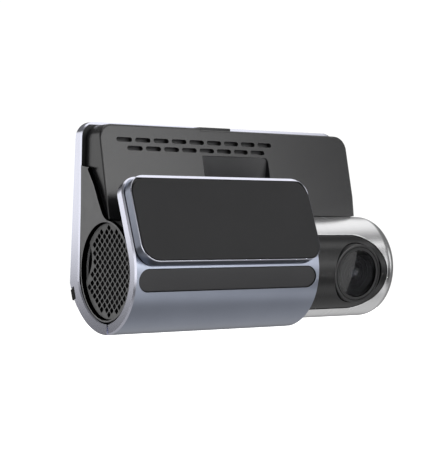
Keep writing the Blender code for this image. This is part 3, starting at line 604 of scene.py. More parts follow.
LOOKS = {
    # fine blasted, blue-silver anodised aluminium, and the bright cut chamfers along its edges
    "frame": surface("anodised_blue", (0.3, 0.325, 0.395), 0.3, 1.0, 0.5,
                     (90, 0.03), (900, 0.02), (4500, 0.0004)),
    "edge": surface("cut_edge", (0.74, 0.75, 0.855), 0.16, 1.0, 0.5, (60, 0.02), None, (3000, 0.0002)),
    # moulded plastics
    "housing": surface("housing_plastic", (0.0125, 0.0125, 0.0138), 0.25, 0.0, 0.62,
                       (120, 0.03), (700, 0.01), (4200, 0.0005)),
    # bay floor: the housing's plastic painted lighter, as painted light on the upward-facing ramp
    "bay": surface("bay_plastic_painted_lighter", (0.05, 0.05, 0.052), 0.5, 0.0, 0.5,
                   (120, 0.05), (700, 0.03), (4200, 0.0025)),
    "cap": surface("cap_plastic", (0.3, 0.3, 0.305), 0.5, 0.0, 0.5,
                   (200, 0.05), (700, 0.04), (3800, 0.003)),
    "grille": surface("grille_paint", (0.24, 0.24, 0.24), 0.42, 0.0, 0.5,
                      (400, 0.1), (900, 0.05), (6000, 0.002)),
    # near-black plastic of the hidden carried parts and the record key; the same look is painted shade on
    # walls that face into gaps and recesses
    "black_and_painted_shade": surface("black_plastic", (0.006, 0.006, 0.0065), 0.42, 0.0, 0.5,
                     (200, 0.1), (700, 0.05), (3800, 0.003)),
    # smooth dark liner on the adhesive foam, and the trim strip below it
    "pad": surface("pad_film", (0.036, 0.036, 0.037), 0.7, 0.0, 0.05,
                   (60, 0.03), (500, 0.04), (3000, 0.002)),
    "strip": surface("strip_plastic", (0.037, 0.037, 0.039), 0.4, 0.0, 0.25,
                     (60, 0.03), (500, 0.03), (4500, 0.0015)),
    # aluminium turned on its barrel axis, with fine rings round it
    "silver": surface("brushed_silver", (0.8, 0.8, 0.81), 0.27, 1.0, 0.5,
                      (2600, 0.025, RINGS), (1700, 0.004, RINGS)).brushed(0.4),
    "window": surface("window_gloss", (0.012, 0.012, 0.0125), 0.24, 0.0, 0.5,
                      (1500, 0.16, RINGS), (1200, 0.035, RINGS), (1800, 0.0003, RINGS)),
    "bezel": surface("bezel_black", (0.018, 0.018, 0.019), 0.36, 0.0, 0.5,
                     (300, 0.08), (900, 0.04), (5000, 0.0015)),
    # inside of the lens barrel, which stops stray light; the same near-black look is painted shade on the
    # end cap's edges and in the groove of the lens trim ring
    "barrel": surface("barrel_black_and_painted_shade", (0.001, 0.001, 0.001), 0.6, 0.0, 0.0, (500, 0.1), None, (5000, 0.002)),
    "glass": surface("coated_glass", (0.2, 0.205, 0.22), 0.0, 0.0, 0.5, (60, 0.04)).clear(1.42),
    # strongly mirroring coat of the small element in the middle of the lens
    "coated": surface("coated_element", (0.3, 0.32, 0.36), 0.05, 1.0, 0.5, (500, 0.05), (2000, 0.01)),
    "screen": surface("screen_glass", (0.006, 0.006, 0.007), 0.06, 0.0, 0.5, (40, 0.1), (200, 0.02)),
    "steel": surface("steel_plain", (0.5, 0.5, 0.51), 0.32, 1.0, 0.5,
                     (400, 0.06), (1500, 0.06, (1.0, 0.1, 0.1)), (4000, 0.001)),
    # parts that are mostly hidden
    "baffle": simple("baffle_plastic", (0.06, 0.06, 0.063), 0.55),
    "display": simple("display_stack", (0.06, 0.065, 0.07), 0.35),
    "board": simple("board_mask", (0.012, 0.07, 0.03), 0.4, 0.0, 300.0, 0.3),
    "fins": simple("black_anodised_fins", (0.03, 0.03, 0.033), 0.4, 0.7),
    "sleeve": simple("capacitor_sleeve_film", (0.02, 0.035, 0.09), 0.35),
    "ceramic": simple("ceramic_patch", (0.55, 0.47, 0.35), 0.6),
    "paper": simple("cone_pulp", (0.02, 0.02, 0.02), 0.8, 0.0, 1500.0, 0.2, 0.01),
    "rubber": simple("rubber_matt", (0.012, 0.012, 0.012), 0.75, 0.0, 1200.0, 0.1, 0.004),
    "ribbon": simple("ribbon_film", (0.4, 0.17, 0.03), 0.4),
    "nylon": simple("nylon_white", (0.5, 0.5, 0.47), 0.5),
}

CARRIED = {
    "steel": ("base_screw_1", "base_screw_2", "base_screw_3", "base_screw_4", "frame_screw_1",
              "frame_screw_2", "hinge_pin", "speaker_magnet", "shield_can", "modem_module", "microphone",
              "usb_socket", "card_socket", "retaining_ring"),
    "nylon": ("friction_washer_left", "friction_washer_right"),
    "black_and_painted_shade": ("barrel_core", "speaker_basket", "memory_card", "module_journal"),
    "rubber": ("speaker_gasket", "friction_o_ring"),
    "board": ("main_board", "key_board", "sensor_board"),
    "sleeve": ("supercapacitor_1", "supercapacitor_2"),
    "display": ("lcd_panel", "image_sensor"),
    "baffle": ("vent_baffle",),
    "fins": ("heat_sink",),
    "paper": ("speaker_cone",),
    "ribbon": ("display_ribbon",),
    "ceramic": ("gnss_antenna",),
    "barrel": ("lens_holder",),
    "glass": ("inner_lens_rear",),
}


def dress_carried_nodes():
    for look, names in CARRIED.items():
        for name in names:
            node = frame["nodes"][name]
            node.data.materials.clear()
            node.data.materials.append(LOOKS[look].material)


# -------- bracket

def make_bracket():
    low = -BRACKET_R * radians(SEAM_ANGLE - (180 - PLATE_LEAN))

    def outline(inset):
        return rounded((BRACKET_START, low), (BRACKET_END, PLATE_RISE),
                       (0.6, 0.6, PLATE_CORNER, PLATE_CORNER), inset, 16)

    def pill(grow):
        middle, half = strip_flat()
        centre = ((STRIP_START + STRIP_END) / 2, middle)
        return stadium(centre, STRIP_END - STRIP_START + 0.5 + 2 * grow, 2 * (half + grow), 0.0, 28)

    shell = Solid()
    face = [(a, min(b, PLATE_RISE - TOP_BEVEL)) for a, b in outline(CHAMFER)]
    inner, outer = shell.rings((outline(0.3), -BRACKET_WALL), (outline(0), 0.3 - BRACKET_WALL, 1),
                               (outline(0), -CHAMFER, 1), (face, 0.0, 1))
    # The strip pocket's walls and floor and the inner face of the wrap and plate are black: painted shade in
    # the recess and behind the plate.
    mouth, floor = shell.rings((pill(0.08), 0.0), (pill(0.0), -0.08, 2), (pill(0.0), -0.8, 2))
    shell.fill(inner, look=2)
    shell.fill(outer, mouth)
    shell.fill(floor, look=2)
    piece = shell.make("bracket_wrap", wrap_place, ("frame", "edge", "black_and_painted_shade"),
                       cuts_b=steps_between(low, 0.0, 0.9) + [0.0])
    place_piece(piece, "bracket", "frame_blue", "bracket_shell")


def strip_flat():
    """Centre and half width of the dark strip, measured round the wrap from the tangent line."""
    heights = (STRIP_LOW - STRIP_TRIM[0], STRIP_HIGH + STRIP_TRIM[1])
    angles = [180 - degrees(asin(z / BRACKET_R)) for z in heights]
    low, high = (-BRACKET_R * radians(angle - (180 - PLATE_LEAN)) for angle in angles)
    return (low + high) / 2, (high - low) / 2


def make_lugs():
    eye = arc(4.0, -90, 90, 16) + [(-17.7, 4.0), (-17.7, -4.0)]
    bore = circle(PIN_BORE_R, 24)
    for number, start in enumerate(LUG_STARTS, 1):
        lug = Solid()
        end = start + LUG_WIDTH
        first, last = lug.rings((eye, start), (eye, end))
        bore_first, bore_last = lug.rings((bore, start), (bore, end))
        lug.fill(first, bore_first)
        lug.fill(last, bore_last)
        place_piece(lug.make(f"hinge_lug_{number}", along_x, ("frame",)), "bracket", "frame_blue")


def make_base():
    def outline(inset):
        return rounded((BASE_START, BASE_LOW), (BASE_END, BASE_HIGH), (BASE_CORNER,) * 4, inset, 18)

    def lip(inset):
        """The rim's inner line, which runs lower along the top edge to leave a wide bevel there."""
        return [(a, min(b, BASE_HIGH - RIM_BEVEL - inset)) for a, b in outline(inset)]

    def side(a, b):
        """Top of the rim's outer wall, lower along the top edge."""
        return BASE_HEIGHT - 0.25 - 0.35 * max(0.0, 1 - (BASE_HIGH - b) / 2.0)

    # The narrow bevel at the bottom edge, and the rim's inner wall and the floor under the pad, are black:
    # painted shade in those gaps.
    base = Solid().block(
        (outline(0.5), 0.3, 2), (outline(0.15), 0.35, 2), (outline(0.0), 0.6), (outline(0.0), side),
        (lip(0.17), BASE_HEIGHT - 0.04, 1), (lip(0.25), BASE_HEIGHT, 1),
        (lip(0.34), BASE_HEIGHT - 0.1, 1), (lip(0.34), BASE_HEIGHT - 0.6, 2), looks=(0, 2))
    piece = base.make("mount_plinth", base_place, ("frame", "edge", "black_and_painted_shade"),
                      cuts_b=steps_between(BASE_LOW, 0.0, 0.8) + [0.0])
    place_piece(piece, "bracket", "frame_blue", "mount_base")


def make_pad():
    edge, low = 0.5, BASE_HEIGHT - 0.3

    def outline(inset):
        return rounded((BASE_START + edge, BASE_LOW + edge), (BASE_END - edge, BASE_HIGH - edge - RIM_BEVEL),
                       (BASE_CORNER - edge,) * 4, inset, 16)

    pad = Solid().block((outline(0.05), low), (outline(0), low + 0.1), (outline(0), PAD_TOP - 0.25),
                        (outline(0.07), PAD_TOP - 0.07), (outline(0.25), PAD_TOP))
    piece = pad.make("foam_pad", base_place, ("pad",))
    place_piece(piece, "bracket", "pad_foam", "adhesive_pad")


def make_strip():
    middle, half = strip_flat()
    centre = ((STRIP_START + STRIP_END) / 2, middle)

    def outline(inset):
        return stadium(centre, STRIP_END - STRIP_START + 0.3, 2 * (half - 0.1), inset, 28)

    strip = Solid().block((outline(0), -0.78), (outline(0), -0.45), (outline(0.08), -0.37),
                          (outline(0.2), -0.35))
    cuts = steps_between(middle - half, middle + half, 0.6)
    piece = strip.make("front_strip", wrap_place, ("strip",), cuts_b=cuts)
    place_piece(piece, "bracket", "strip_black", "trim_strip")


# -------- rear frame and housing

def make_rear_frame():
    top = frame_t(FRAME_TOP)
    step_t = wrap_t(-35.5)
    edge_x = MODULE_START - 0.4

    corner = FRAME_CORNER
    outline = [(BODY_START, 0.0), (edge_x, 0.0), (edge_x, step_t), (BODY_END, step_t)]
    outline += arc(corner, 0, 90, 16, (BODY_END - corner, top - corner))
    outline += arc(corner, 90, 180, 16, (BODY_START + corner, top - corner))

    chamfer, bevel = 0.09, 0.13  # as shares of the frame's depth; the top edge has a bevel

    def edge(a, b):
        return chamfer + bevel * max(0.0, 1 - (top - b) / 3)

    shell = Solid()
    face = [(a, min(b, top - 1.0)) for a, b in offset(outline, 0.45)]
    front, rear = shell.rings((face, 0.0), (outline, edge, 1), (outline, 1 - chamfer, 1),
                              (offset(outline, 0.4), 1.0, 1))

    def opening(grow):
        low, high = frame_t(1.0) - grow, frame_t(48.4) + grow
        return rounded((3.2 - grow, low), (108.8 + grow, high), (3.0,) * 4, 0.0, 12)

    screen_rear, screen_front = shell.rings((opening(0.15), 1.0), (opening(0.0), 0.97, 1),
                                            (opening(0.0), 0.0))
    keys_place = (56.0, wrap_t(KEY_ANGLE))
    keys_opening = stadium(keys_place, 54.0, 4.15)
    keys_rear, keys_front = shell.rings((stadium(keys_place, 54.4, 4.5), 1.0), (keys_opening, 0.96, 1),
                                        (keys_opening, 0.0))
    sinks = []
    for x in FRAME_SCREWS:
        place = (x, wrap_t(SCREW_ANGLE))
        sink = circle(2.15, 32, place)
        mouth, floor = shell.rings((circle(2.3, 32, place), 1.0), (sink, 0.96), (sink, 0.5))
        shell.fill(floor)
        sinks.append(mouth)
    # The face that lies against the housing, round the screen and key openings, is black: painted shade in
    # the gap between frame and housing.
    shell.fill(front, screen_front, keys_front, look=2)
    shell.fill(rear, screen_rear, keys_rear, *sinks)
    cuts = steps_between(0.0, WRAP_LENGTH, 0.9) + [WRAP_LENGTH, frame_t(3.0), frame_t(10.0)]
    piece = shell.make("screen_frame", frame_place, ("frame", "edge", "black_and_painted_shade"),
                       cuts_a=(edge_x - 0.01, edge_x + 0.05), cuts_b=cuts)
    foot = KEY_STRIP_FACE - KEY_STRIP_THICK - 0.3
    half = KEY_STRIP_HALF + 0.2
    groove = block_piece("cut_key_groove", (-5.0, foot, -half), (BODY_END + 5.0, 32.0, half), KEYS)
    carve(piece, groove)
    place_piece(piece, "camera_body", "frame_blue", "rear_frame")


def bay_depth(x, z):
    """How far the connector bay runs in behind the front face: a ramp from its top, then level."""
    return 0.3 + 6.7 * min(1.0, max(0.0, (BAY_HIGH[1] - z) / 14.0))


def make_housing():
    low, wall = 4.5, HOUSING_WALL
    raised = 0.6  # the top edge is higher to the left of the record key

    def outline(inset):
        left, right, corner = HOUSING_START, HOUSING_END, HOUSING_CORNER
        step, high = TOP_KEY[0] - 0.3, HOUSING_TOP + raised
        points = [(left, low), (right, low)]
        points += arc(corner, 0, 90, 14, (right - corner, HOUSING_TOP - corner))
        points += [(step, HOUSING_TOP), (step, high)]
        points += arc(corner, 90, 180, 14, (left + corner, high - corner))
        return offset(points, inset)

    shell = Solid()
    rear, front = shell.rings(
        (outline(0.25), BACK), (outline(0.0), BACK - 0.25), (outline(0.0), 0.6), (outline(0.08), 0.3),
        (outline(0.3), 0.08), (outline(0.6), 0.0))
    hollow_rear, hollow_front = shell.rings((outline(wall), BACK), (outline(wall), wall + 0.05))
    shell.fill(rear, hollow_rear)

    mouths, ends = [front], [hollow_front]
    for count, first, height in VENT_ROWS:
        for index in range(count):
            centre = (first + VENT_STEP * index, height)
            # the vent slots' walls are black: painted shade inside the slots
            mouth, end = shell.pocket(centre, VENT_SIZE, 0.05, (0.0, 0.06, wall + 0.05), 8, 1)
            mouths.append(mouth)
            ends.append(end)

    def bay(grow):
        return rounded((BAY_LOW[0] - grow, BAY_LOW[1] - grow), (BAY_HIGH[0] + grow, BAY_HIGH[1] + grow),
                       (0.8, 0.8, 1.8, 0.6), 0.0, 8)

    def back(a, b):
        """Inner side of the wall behind the bay."""
        return bay_depth(a, b) + 1.4

    mouth, floor = shell.rings((bay(0.12), 0.0), (bay(0.0), 0.12), (bay(0.0), bay_depth))
    mouths.append(mouth)
    wall_start, wall_end = shell.rings((bay(1.4), wall + 0.05),
                                       (bay(1.4), lambda a, b: max(wall + 0.1, back(a, b))))
    ends.append(wall_start)
    port = stadium(PORT_CENTRE, *PORT_SIZE, 0.0, 10)
    port_mouth, port_end = shell.rings((port, bay_depth), (port, back))
    # the bay's floor round the port takes the lighter bay look: painted light on the upward-facing ramp
    shell.fill(floor, port_mouth, look=2)
    shell.fill(wall_end, port_end)
    shell.fill(*mouths)
    shell.fill(*ends)
    seats = [4.6, 6.0, 8.0, 10.0, 11.5, 13.0, 14.2, 15.2, 16.0, 16.6, 17.0, 17.2, 17.3, 17.7, 18.1, 18.5,
             18.8, 18.95, 26.0]
    piece = shell.make("housing_shell", housing_place, ("housing", "black_and_painted_shade", "bay"),
                       cuts_a=(SEAT_STEP - 0.05, SEAT_STEP + 0.05), cuts_b=seats)
    card = block_piece("cut_card", (HOUSING_END - 2.5, 9.5, 27.6), (HOUSING_END + 5.0, 11.7, 40.0))
    gap = 0.25
    key = block_piece("cut_key", (TOP_KEY[0] - gap, TOP_KEY[2] - gap, 46.5),
                      (TOP_KEY[1] + gap, TOP_KEY[3] + gap, 55.0))
    carve(piece, card, key)
    place_piece(piece, "camera_body", "housing_grey", "front_housing")


def block_piece(name, low, high, matrix=Matrix.Identity(4)):
    """Plain box that only serves to cut."""
    outline = [(low[1], low[2]), (high[1], low[2]), (high[1], high[2]), (low[1], high[2])]
    solid = Solid().block((outline, low[0]), (outline, high[0]))
    return solid.make(name, lambda y, z, x: matrix @ Vector((x, y, z)), ())


def make_top_key():
    def outline(inset):
        return rounded((TOP_KEY[0], TOP_KEY[2]), (TOP_KEY[1], TOP_KEY[3]), (0.5,) * 4, inset, 6)

    foot, top = 47.6, TOP_KEY_TOP
    key = Solid().block((outline(0.1), foot), (outline(0), foot + 0.1), (outline(0), top - 0.3),
                        (outline(0.05), top - 0.1), (outline(0.25), top))
    place_piece(key.make("record_key", along_z, ("black_and_painted_shade",)), "top_key", "housing_grey", "top_key")


# -------- end cap and grille

def cap_outline():
    ring = arc(17.0, 93, 360, 96)
    fin = [(16.95, 8.0), (16.85, 18.0), (16.6, 36.0), (12.5, 35.2)]
    nose = arc(1.5, 78, 25, 6, (10.6, 33.7))
    flank = smooth_curve([nose[-2], nose[-1], (7.9, 29.2), (5.1, 24.3), (3.2, 21.1), (1.4, 18.7),
                          (-0.6, 17.3), (-2.4, 16.84), (-3.2, 16.7)], 6)
    return ring + fin + nose + flank[1:-1]


def make_end_cap():
    outline = cap_outline()
    side, bore = offset(outline, 0.0), circle(16.4, 96)
    cap = Solid()
    # The side walls, outside and round the bore, take the near-black barrel look: painted shade along the
    # cap's edges.
    outer_low, outer_high = cap.rings((offset(outline, 0.2), 0.0), (side, 0.16), (side, CAP_THICK, 1))
    inner_low, inner_high = cap.rings((circle(16.5, 96), 0.0), (bore, 0.1), (bore, CAP_THICK, 1))
    cap.fill(outer_low, inner_low)
    cap.fill(outer_high, inner_high)
    piece = cap.make("speaker_cap", along_x, ("cap", "barrel"))
    place_piece(piece, "camera_body", "cap_grey", "end_cap")


GRILLE_STEP_Y, GRILLE_STEP_Z = 1.68, 1.45
GRILLE_HOLE = (1.18, 1.02)  # half width and half height
GRILLE_POWER = 1.54  # 1 would make the holes oval, and 2 straight sided diamonds
GRILLE_EDGE = 0.25  # least metal between a hole and the sheet's edge
GRILLE_R = 16.1
GRILLE_NOTCH = (11.9, 4.5, 0.055)  # nearest Y, its Z and how fast the notch opens


def notch_y(z):
    """The perforated sheet ends here towards the screen side."""
    near, middle, opening = GRILLE_NOTCH
    return near + opening * (z - middle) ** 2


def grille_outline(inset):
    points = []
    for y, z in circle(GRILLE_R - inset, 144):
        points.append((min(y, notch_y(z) - inset), z))
    return points


def grille_holes():
    """Staggered places of the holes, in Y and Z."""
    places = []
    count = int(GRILLE_R / GRILLE_STEP_Z) + 1
    for row in range(-count, count + 1):
        for column in range(-count, count + 1):
            y, z = column * GRILLE_STEP_Y, row * GRILLE_STEP_Z
            edge = grille_hole((y, z), GRILLE_EDGE)
            inside = all(hypot(a, b) < GRILLE_R and a < notch_y(b) for a, b in edge)
            if (row + column) % 2 == 0 and inside:
                places.append((y, z))
    return places


def grille_hole(place, grow):
    """Diamond with round corners, a superellipse."""
    points = []
    for unit in circle(1.0, 16):
        point = []
        for middle, half, share in zip(place, GRILLE_HOLE, unit):
            reach = half * abs(share) ** GRILLE_POWER + grow
            point.append(middle + reach * share / max(abs(share), 1e-6))
        points.append(tuple(point))
    return points


def grille_dish(y, z):
    """Depth of the perforated sheet: a shallow pan with a turned-up rim."""
    share = min(1.0, hypot(y, z) / GRILLE_R)
    return 1.5 + 0.6 * (1 - share ** 3)


def make_grille():
    sheet = Solid()
    thick, rim, lip = 0.45, grille_outline(0.0), grille_outline(0.12)
    front, back = sheet.rings((lip, 0.0), (rim, 0.1), (rim, 0.4), (lip, thick))
    fronts, backs = [front], [back]
    for place in grille_holes():
        hole = grille_hole(place, 0.0)
        # hole walls and the sheet's back are black: painted shade in the holes
        front, back = sheet.rings((grille_hole(place, 0.05), 0.0), (hole, 0.08), (hole, thick, 1))
        fronts.append(front)
        backs.append(back)
    sheet.fill(*fronts)
    sheet.fill(*backs, look=1)
    piece = sheet.make("perforated_grille", lambda y, z, n: Vector((grille_dish(y, z) + n, y, z)),
                       ("grille", "black_and_painted_shade"))
    place_piece(piece, "camera_body", "cap_grey", "speaker_grille")

    crescent = arc(15.55, -14, 34, 24) + arc(15.25, 34, -14, 24)
    rib = Solid().block((crescent, 1.7), (crescent, 2.3))
    place_piece(rib.make("grille_rib", along_x, ("grille",)), "camera_body", "cap_grey")


# -------- screen side

def make_screen_glass():
    def outline(inset):
        return rounded(SCREEN_LOW, SCREEN_HIGH, (2.6,) * 4, inset, 12)

    glass = Solid().block((outline(0.1), -1.5), (outline(0), -1.4), (outline(0), -0.45),
                          (outline(0.08), -0.27), (outline(0.28), -0.2))
    piece = glass.make("cover_glass", along_y(REAR), ("screen",))
    place_piece(piece, "camera_body", "screen_black", "screen_glass")


def make_keys():
    def bar(inset):
        return rounded((BODY_START + 0.1, -KEY_STRIP_HALF), (BODY_END - 0.1, KEY_STRIP_HALF),
                       (0.4,) * 4, inset, 5)

    strip = Solid()
    face, foot = KEY_STRIP_FACE, KEY_STRIP_FACE - KEY_STRIP_THICK
    front, rear = strip.rings((bar(0.1), foot), (bar(0.0), foot + 0.1), (bar(0.0), face - 0.25),
                              (bar(0.1), face - 0.08), (bar(0.3), face))
    fronts, rears = [front], [rear]
    for x in KEY_PLACES.values():
        near, far = strip.pocket((x, 0.0), (8.5, 2.3), 0.08, (face, face - 0.1, foot), 10)
        rears.append(near)
        fronts.append(far)
    strip.fill(*fronts)
    strip.fill(*rears)
    piece = strip.make("rear_key_strip", along_y(KEYS), ("rubber",))
    place_piece(piece, "camera_body", "black_plastic", "key_strip")
    steps = ((0.1, KEY_FOOT), (0.0, KEY_FOOT + 0.1), (0.0, KEY_FACE - 0.3), (0.1, KEY_FACE - 0.1),
             (0.32, KEY_FACE))
    for name, x in KEY_PLACES.items():
        key = Solid().block(*((stadium((x, 0.0), 8.0, 1.8, inset, 10), depth) for inset, depth in steps))
        place_piece(key.make(f"{name}_cap", along_y(KEYS), ("housing",)), name, "housing_grey", name)


# -------- lens module

def window_points(radius, left):
    """Window in the lens's own view, as X from the lens and height above its axis."""
    return [(left, -radius)] + arc(radius, -90, 90, 48) + [(left, radius)]


def on_module(points):
    return [(LENS_X + a - MODULE_START, module_b(c)) for a, c in points]


def make_lens_housing():
    def outline(inset):
        window = on_module(window_points(WINDOW_R + inset, MODULE_START + inset - LENS_X))
        corners = [(inset, 0.0), (MODULE_T_END, 0.0), (MODULE_T_END, MODULE_ROUND), (inset, MODULE_ROUND)]
        return corners + window

    wall, side = 1.8, outline(0.0)
    shell = Solid().block((outline(0.15), -wall), (side, 0.15 - wall), (side, -0.06), (outline(0.06), 0.0))
    shell.stand()
    seam = []  # faces that close the flat sheet where it meets itself
    for face in shell.mesh.faces:
        a = [corner.co.x for corner in face.verts]
        b = [corner.co.y for corner in face.verts]
        if max(b) < 1e-4 or min(b) > MODULE_ROUND - 1e-4 or min(a) > MODULE_T_END - 1e-4:
            seam.append(face)
    bmesh.ops.delete(shell.mesh, geom=seam, context="FACES_ONLY")
    straight = MODULE_END - MODULE_START - MODULE_FILLET
    bend = straight + MODULE_FILLET * pi / 2
    cuts = [straight] + steps_between(straight, bend, 0.5)
    cuts += [bend] + steps_between(bend, MODULE_T_END, 2.0)
    piece = shell.make("module_shell", module_place, ("silver",), cuts_a=cuts,
                       cuts_b=steps_between(0.0, MODULE_ROUND, 0.8))
    place_piece(piece, "lens_module", "brushed_silver", "lens_housing")


def make_window():
    def outline(inset):
        return on_module(window_points(WINDOW_R - 0.3 - inset, MODULE_START + 0.3 + inset - LENS_X))

    def hole(grow):
        return on_module(circle(BEZEL_R + 0.3 + grow, 96))

    cover = Solid()
    inner, outer = cover.rings((outline(0.1), -1.5), (outline(0.0), -1.4), (outline(0.0), -0.25),
                               (outline(0.05), -0.12), (outline(0.16), -0.06))
    hole_inner, hole_outer = cover.rings((hole(0.0), -1.5), (hole(0.0), -0.22), (hole(0.12), -0.06))
    cover.fill(inner, hole_inner)
    cover.fill(outer, hole_outer)
    cuts = steps_between(module_b(WINDOW_R), module_b(-WINDOW_R), 0.6)
    piece = cover.make("module_window", module_place, ("window",), cuts_b=cuts)
    place_piece(piece, "lens_module", "strip_black", "window_cover")


def make_lens():
    """Pieces on the lens axis; profiles are of (radius, distance from the barrel axis, look)."""
    face, rim = 17.9, BEZEL_R
    # The groove in the trim ring's face takes the near-black barrel look as painted shade; the inner wall
    # down to the glass takes the same look.
    bezel = [(8.9, 10.5), (rim, 10.5), (rim, face - 0.25), (rim - 0.1, face - 0.1),
             (rim - 0.3, face - 0.02), (rim - 0.9, face, 1), (rim - 0.95, face - 0.15, 1),
             (rim - 1.1, face - 0.15), (rim - 1.15, face), (8.55, face, 1), (8.45, face - 0.1, 1),
             (8.45, 16.6, 1), (8.9, 16.4)]
    piece = turned("lens_trim_ring", bezel, LENS, ("bezel", "barrel"), 128)
    place_piece(piece, "lens_module", "black_plastic", "lens_bezel")

    edge, sag, radius, thick = 17.6, 0.48, 8.35, 0.7
    dome_r = (radius ** 2 + sag ** 2) / (2 * sag)
    dome = [(0.0, edge + sag)]
    for step in range(1, 17):
        r = radius * step / 16
        dome.append((r, edge + sag - dome_r + sqrt(dome_r ** 2 - r * r)))
    inner = [(r, h - thick) for r, h in reversed(dome)]
    glass = turned("front_element", dome + inner, LENS, ("glass",), 96)
    place_piece(glass, "lens_module", "lens_glass", "front_lens")

    tube = [(8.3, 16.4), (8.3, 2.0), (1.2, 2.0), (1.2, 14.5), (2.7, 14.6), (2.75, 15.0, 1), (3.0, 15.1),
            (4.2, 15.1), (4.25, 15.45, 1), (4.6, 15.55), (5.9, 15.55), (5.95, 15.9, 1), (6.2, 16.0),
            (7.9, 16.0), (7.9, 16.4)]
    piece = turned("lens_tube", tube, LENS, ("barrel", "bezel"), 96)
    place_piece(piece, "lens_module", "black_plastic", "lens_barrel")

    radius, top = 1.9, 16.5
    element = [(0.0, top)]
    for step in range(1, 13):
        angle = radians(62 * step / 12)
        element.append((radius * sin(angle), top - radius + radius * cos(angle)))
    element += [(1.7, 15.2, 1), (1.9, 15.3, 1), (2.1, 15.2, 1), (2.1, 14.8, 1), (0.0, 14.8)]
    piece = turned("inner_element", element, LENS, ("coated", "bezel"), 64)
    place_piece(piece, "lens_module", "lens_glass", "inner_lens_front")


# -------- stage

def make_camera():
    camera = link_object("camera", bpy.data.cameras.new("camera"))
    camera.location = world(-216.70, -387.20, 14.70)
    camera.rotation_euler = (radians(90), 0.0, radians(-34.3))
    camera.data.lens = 106.1
    camera.data.sensor_width = 36.0
    camera.data.shift_y = 0.0051
    camera.data.clip_start = 0.01
    camera.data.clip_end = 20.0
    bpy.context.scene.camera = camera


def direction(azimuth, elevation):
    """Unit vector; azimuth 0 is straight ahead of the lens side, -Y, and grows towards +X."""
    a, e = radians(azimuth), radians(elevation)
    return Vector((sin(a) * cos(e), -cos(a) * cos(e), sin(e)))


class Studio:
    """Procedural surround of soft boxes, given by where they stand and how wide they look, in degrees."""

    def __init__(self, base):
        world_data = bpy.data.worlds.new("studio")
        bpy.context.scene.world = world_data
        world_data.use_nodes = True
        self.tree = world_data.node_tree
        self.tree.nodes.clear()
        self.toward = self.node("ShaderNodeTexCoord").outputs["Generated"]
        self.light = base

    def node(self, kind):
        return self.tree.nodes.new(kind)

    def math(self, operation, *values):
        node = self.node("ShaderNodeMath")
        node.operation = operation
        for socket, value in zip(node.inputs, values):
            if isinstance(value, float):
                socket.default_value = value
            else:
                self.tree.links.new(value, socket)
        return node.outputs[0]

    def along(self, axis):
        node = self.node("ShaderNodeVectorMath")
        node.operation = "DOT_PRODUCT"
        node.inputs[1].default_value = axis
        self.tree.links.new(self.toward, node.inputs[0])
        return node.outputs["Value"]

    def inside(self, value, half, soft):
        node = self.node("ShaderNodeMapRange")
        node.interpolation_type = "SMOOTHSTEP"
        node.inputs["From Min"].default_value = half + soft
        node.inputs["From Max"].default_value = half - soft
        self.tree.links.new(self.math("ABSOLUTE", value), node.inputs["Value"])
        return node.outputs["Result"]

    def box(self, centre, size, strength, soft=(0.05, 0.05), roll=0.0):
        """Adds one soft box; centre and size are (across, up), in degrees."""
        front = direction(*centre)
        azimuth = radians(centre[0])
        level = Vector((cos(azimuth), sin(azimuth), 0.0))
        turn = Matrix.Rotation(radians(roll), 3, front)
        across = turn @ level
        up = turn @ front.cross(level) * -1
        depth = self.math("MAXIMUM", self.along(front), 0.001)
        masks = []
        for axis, degrees_wide, softness in ((across, size[0], soft[0]), (up, size[1], soft[1])):
            offset_there = self.math("DIVIDE", self.along(axis), depth)
            masks.append(self.inside(offset_there, tan(radians(degrees_wide / 2)), softness))
        mask = self.math("MULTIPLY", *masks)
        self.light = self.math("ADD", self.light, self.math("MULTIPLY", mask, strength))

    def finish(self):
        """White behind the object, and the boxes in what it reflects."""
        join = self.tree.links.new
        soft, white = self.node("ShaderNodeBackground"), self.node("ShaderNodeBackground")
        soft.inputs["Color"].default_value = (1.0, 1.0, 1.0, 1.0)
        join(self.light, soft.inputs["Strength"])
        white.inputs["Color"].default_value = (1.0, 1.0, 1.0, 1.0)
        white.inputs["Strength"].default_value = 1.05
        mix = self.node("ShaderNodeMixShader")
        join(self.node("ShaderNodeLightPath").outputs["Is Camera Ray"], mix.inputs["Fac"])
        join(soft.outputs[0], mix.inputs[1])
        join(white.outputs[0], mix.inputs[2])
        join(mix.outputs[0], self.node("ShaderNodeOutputWorld").inputs["Surface"])


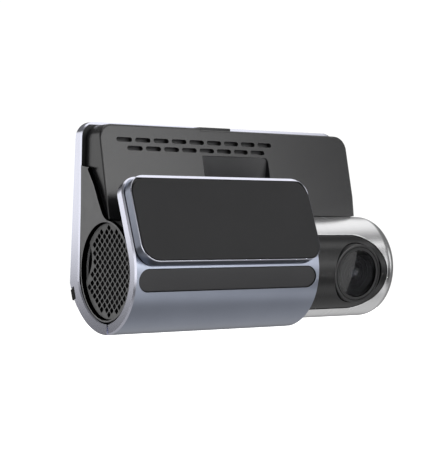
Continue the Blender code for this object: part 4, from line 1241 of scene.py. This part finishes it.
BOXES = (  # centre, size, strength, softness of the edges and roll of each box
    ((13, 19), (46, 26), 3.4, (0.03, 0.04)),            # key, in front
    ((38, 5), (12, 12), 1.2, (0.05, 0.05)),             # its lower right end
    ((11.5, -14), (48, 40), 1.4, (0.01, 0.06), -16),    # below the key
    ((52, -15), (34, 30), -0.14, (0.06, 0.1)),          # dark stretch that the lens shows
    ((44, 39), (22, 11), 1.6, (0.05, 0.05)),            # over the plate's top edge
    ((100, 78), (100, 56), 1.0, (0.12, 0.12), -32),     # overhead
    ((-146, 9.5), (34, 23), 0.9, (0.1, 0.04)),          # left, behind
    ((-55, 5), (50, 40), 1.0, (0.2, 0.2)),              # left, in front
    ((74, 8), (10, 20), 1.8, (0.06, 0.08)),             # narrow strip on the right
    ((35, -38), (90, 16), 0.4, (0.3, 0.1)),             # bounce in front of the floor
    ((125, -42), (70, 40), 0.2, (0.2, 0.2)),            # bounce behind it
    ((0, -90), (110, 110), 0.25, (0.5, 0.5)),           # floor
    ((39.0, -12.7), (0.6, 0.6), 60.0, (0.001, 0.001)),  # two lamps that the lens shows
    ((40.8, -11.2), (0.6, 0.6), 60.0, (0.001, 0.001)),
)


def make_studio():
    studio = Studio(0.16)
    for box in BOXES:
        studio.box(*box)
    studio.finish()


def make_floor():
    builder = bmesh.new()
    bmesh.ops.create_circle(builder, cap_ends=True, segments=96, radius=6.0)
    mesh = bpy.data.meshes.new("floor")
    builder.to_mesh(mesh)
    builder.free()
    floor = link_object("floor", mesh)
    floor.location.z = CAD_LOW.z - 0.35
    look = Look("floor_white", (0.9, 0.9, 0.9), 0.9, 0.0, 0.1)
    look.set("Emission Color", (1.0, 1.0, 1.0, 1.0))
    look.set("Emission Strength", 1.0)
    look.mottle(3.0, 0.01)
    mesh.materials.append(look.material)
    floor.visible_glossy = False
    floor.visible_diffuse = False


# -------- assembly

def main():
    bpy.context.scene.view_settings.view_transform = "Standard"
    make_camera()
    make_studio()
    make_floor()
    dress_carried_nodes()
    make_bracket()
    make_lugs()
    make_base()
    make_pad()
    make_strip()
    make_rear_frame()
    make_housing()
    make_top_key()
    make_end_cap()
    make_grille()
    make_screen_glass()
    make_keys()
    make_lens_housing()
    make_window()
    make_lens()


main()
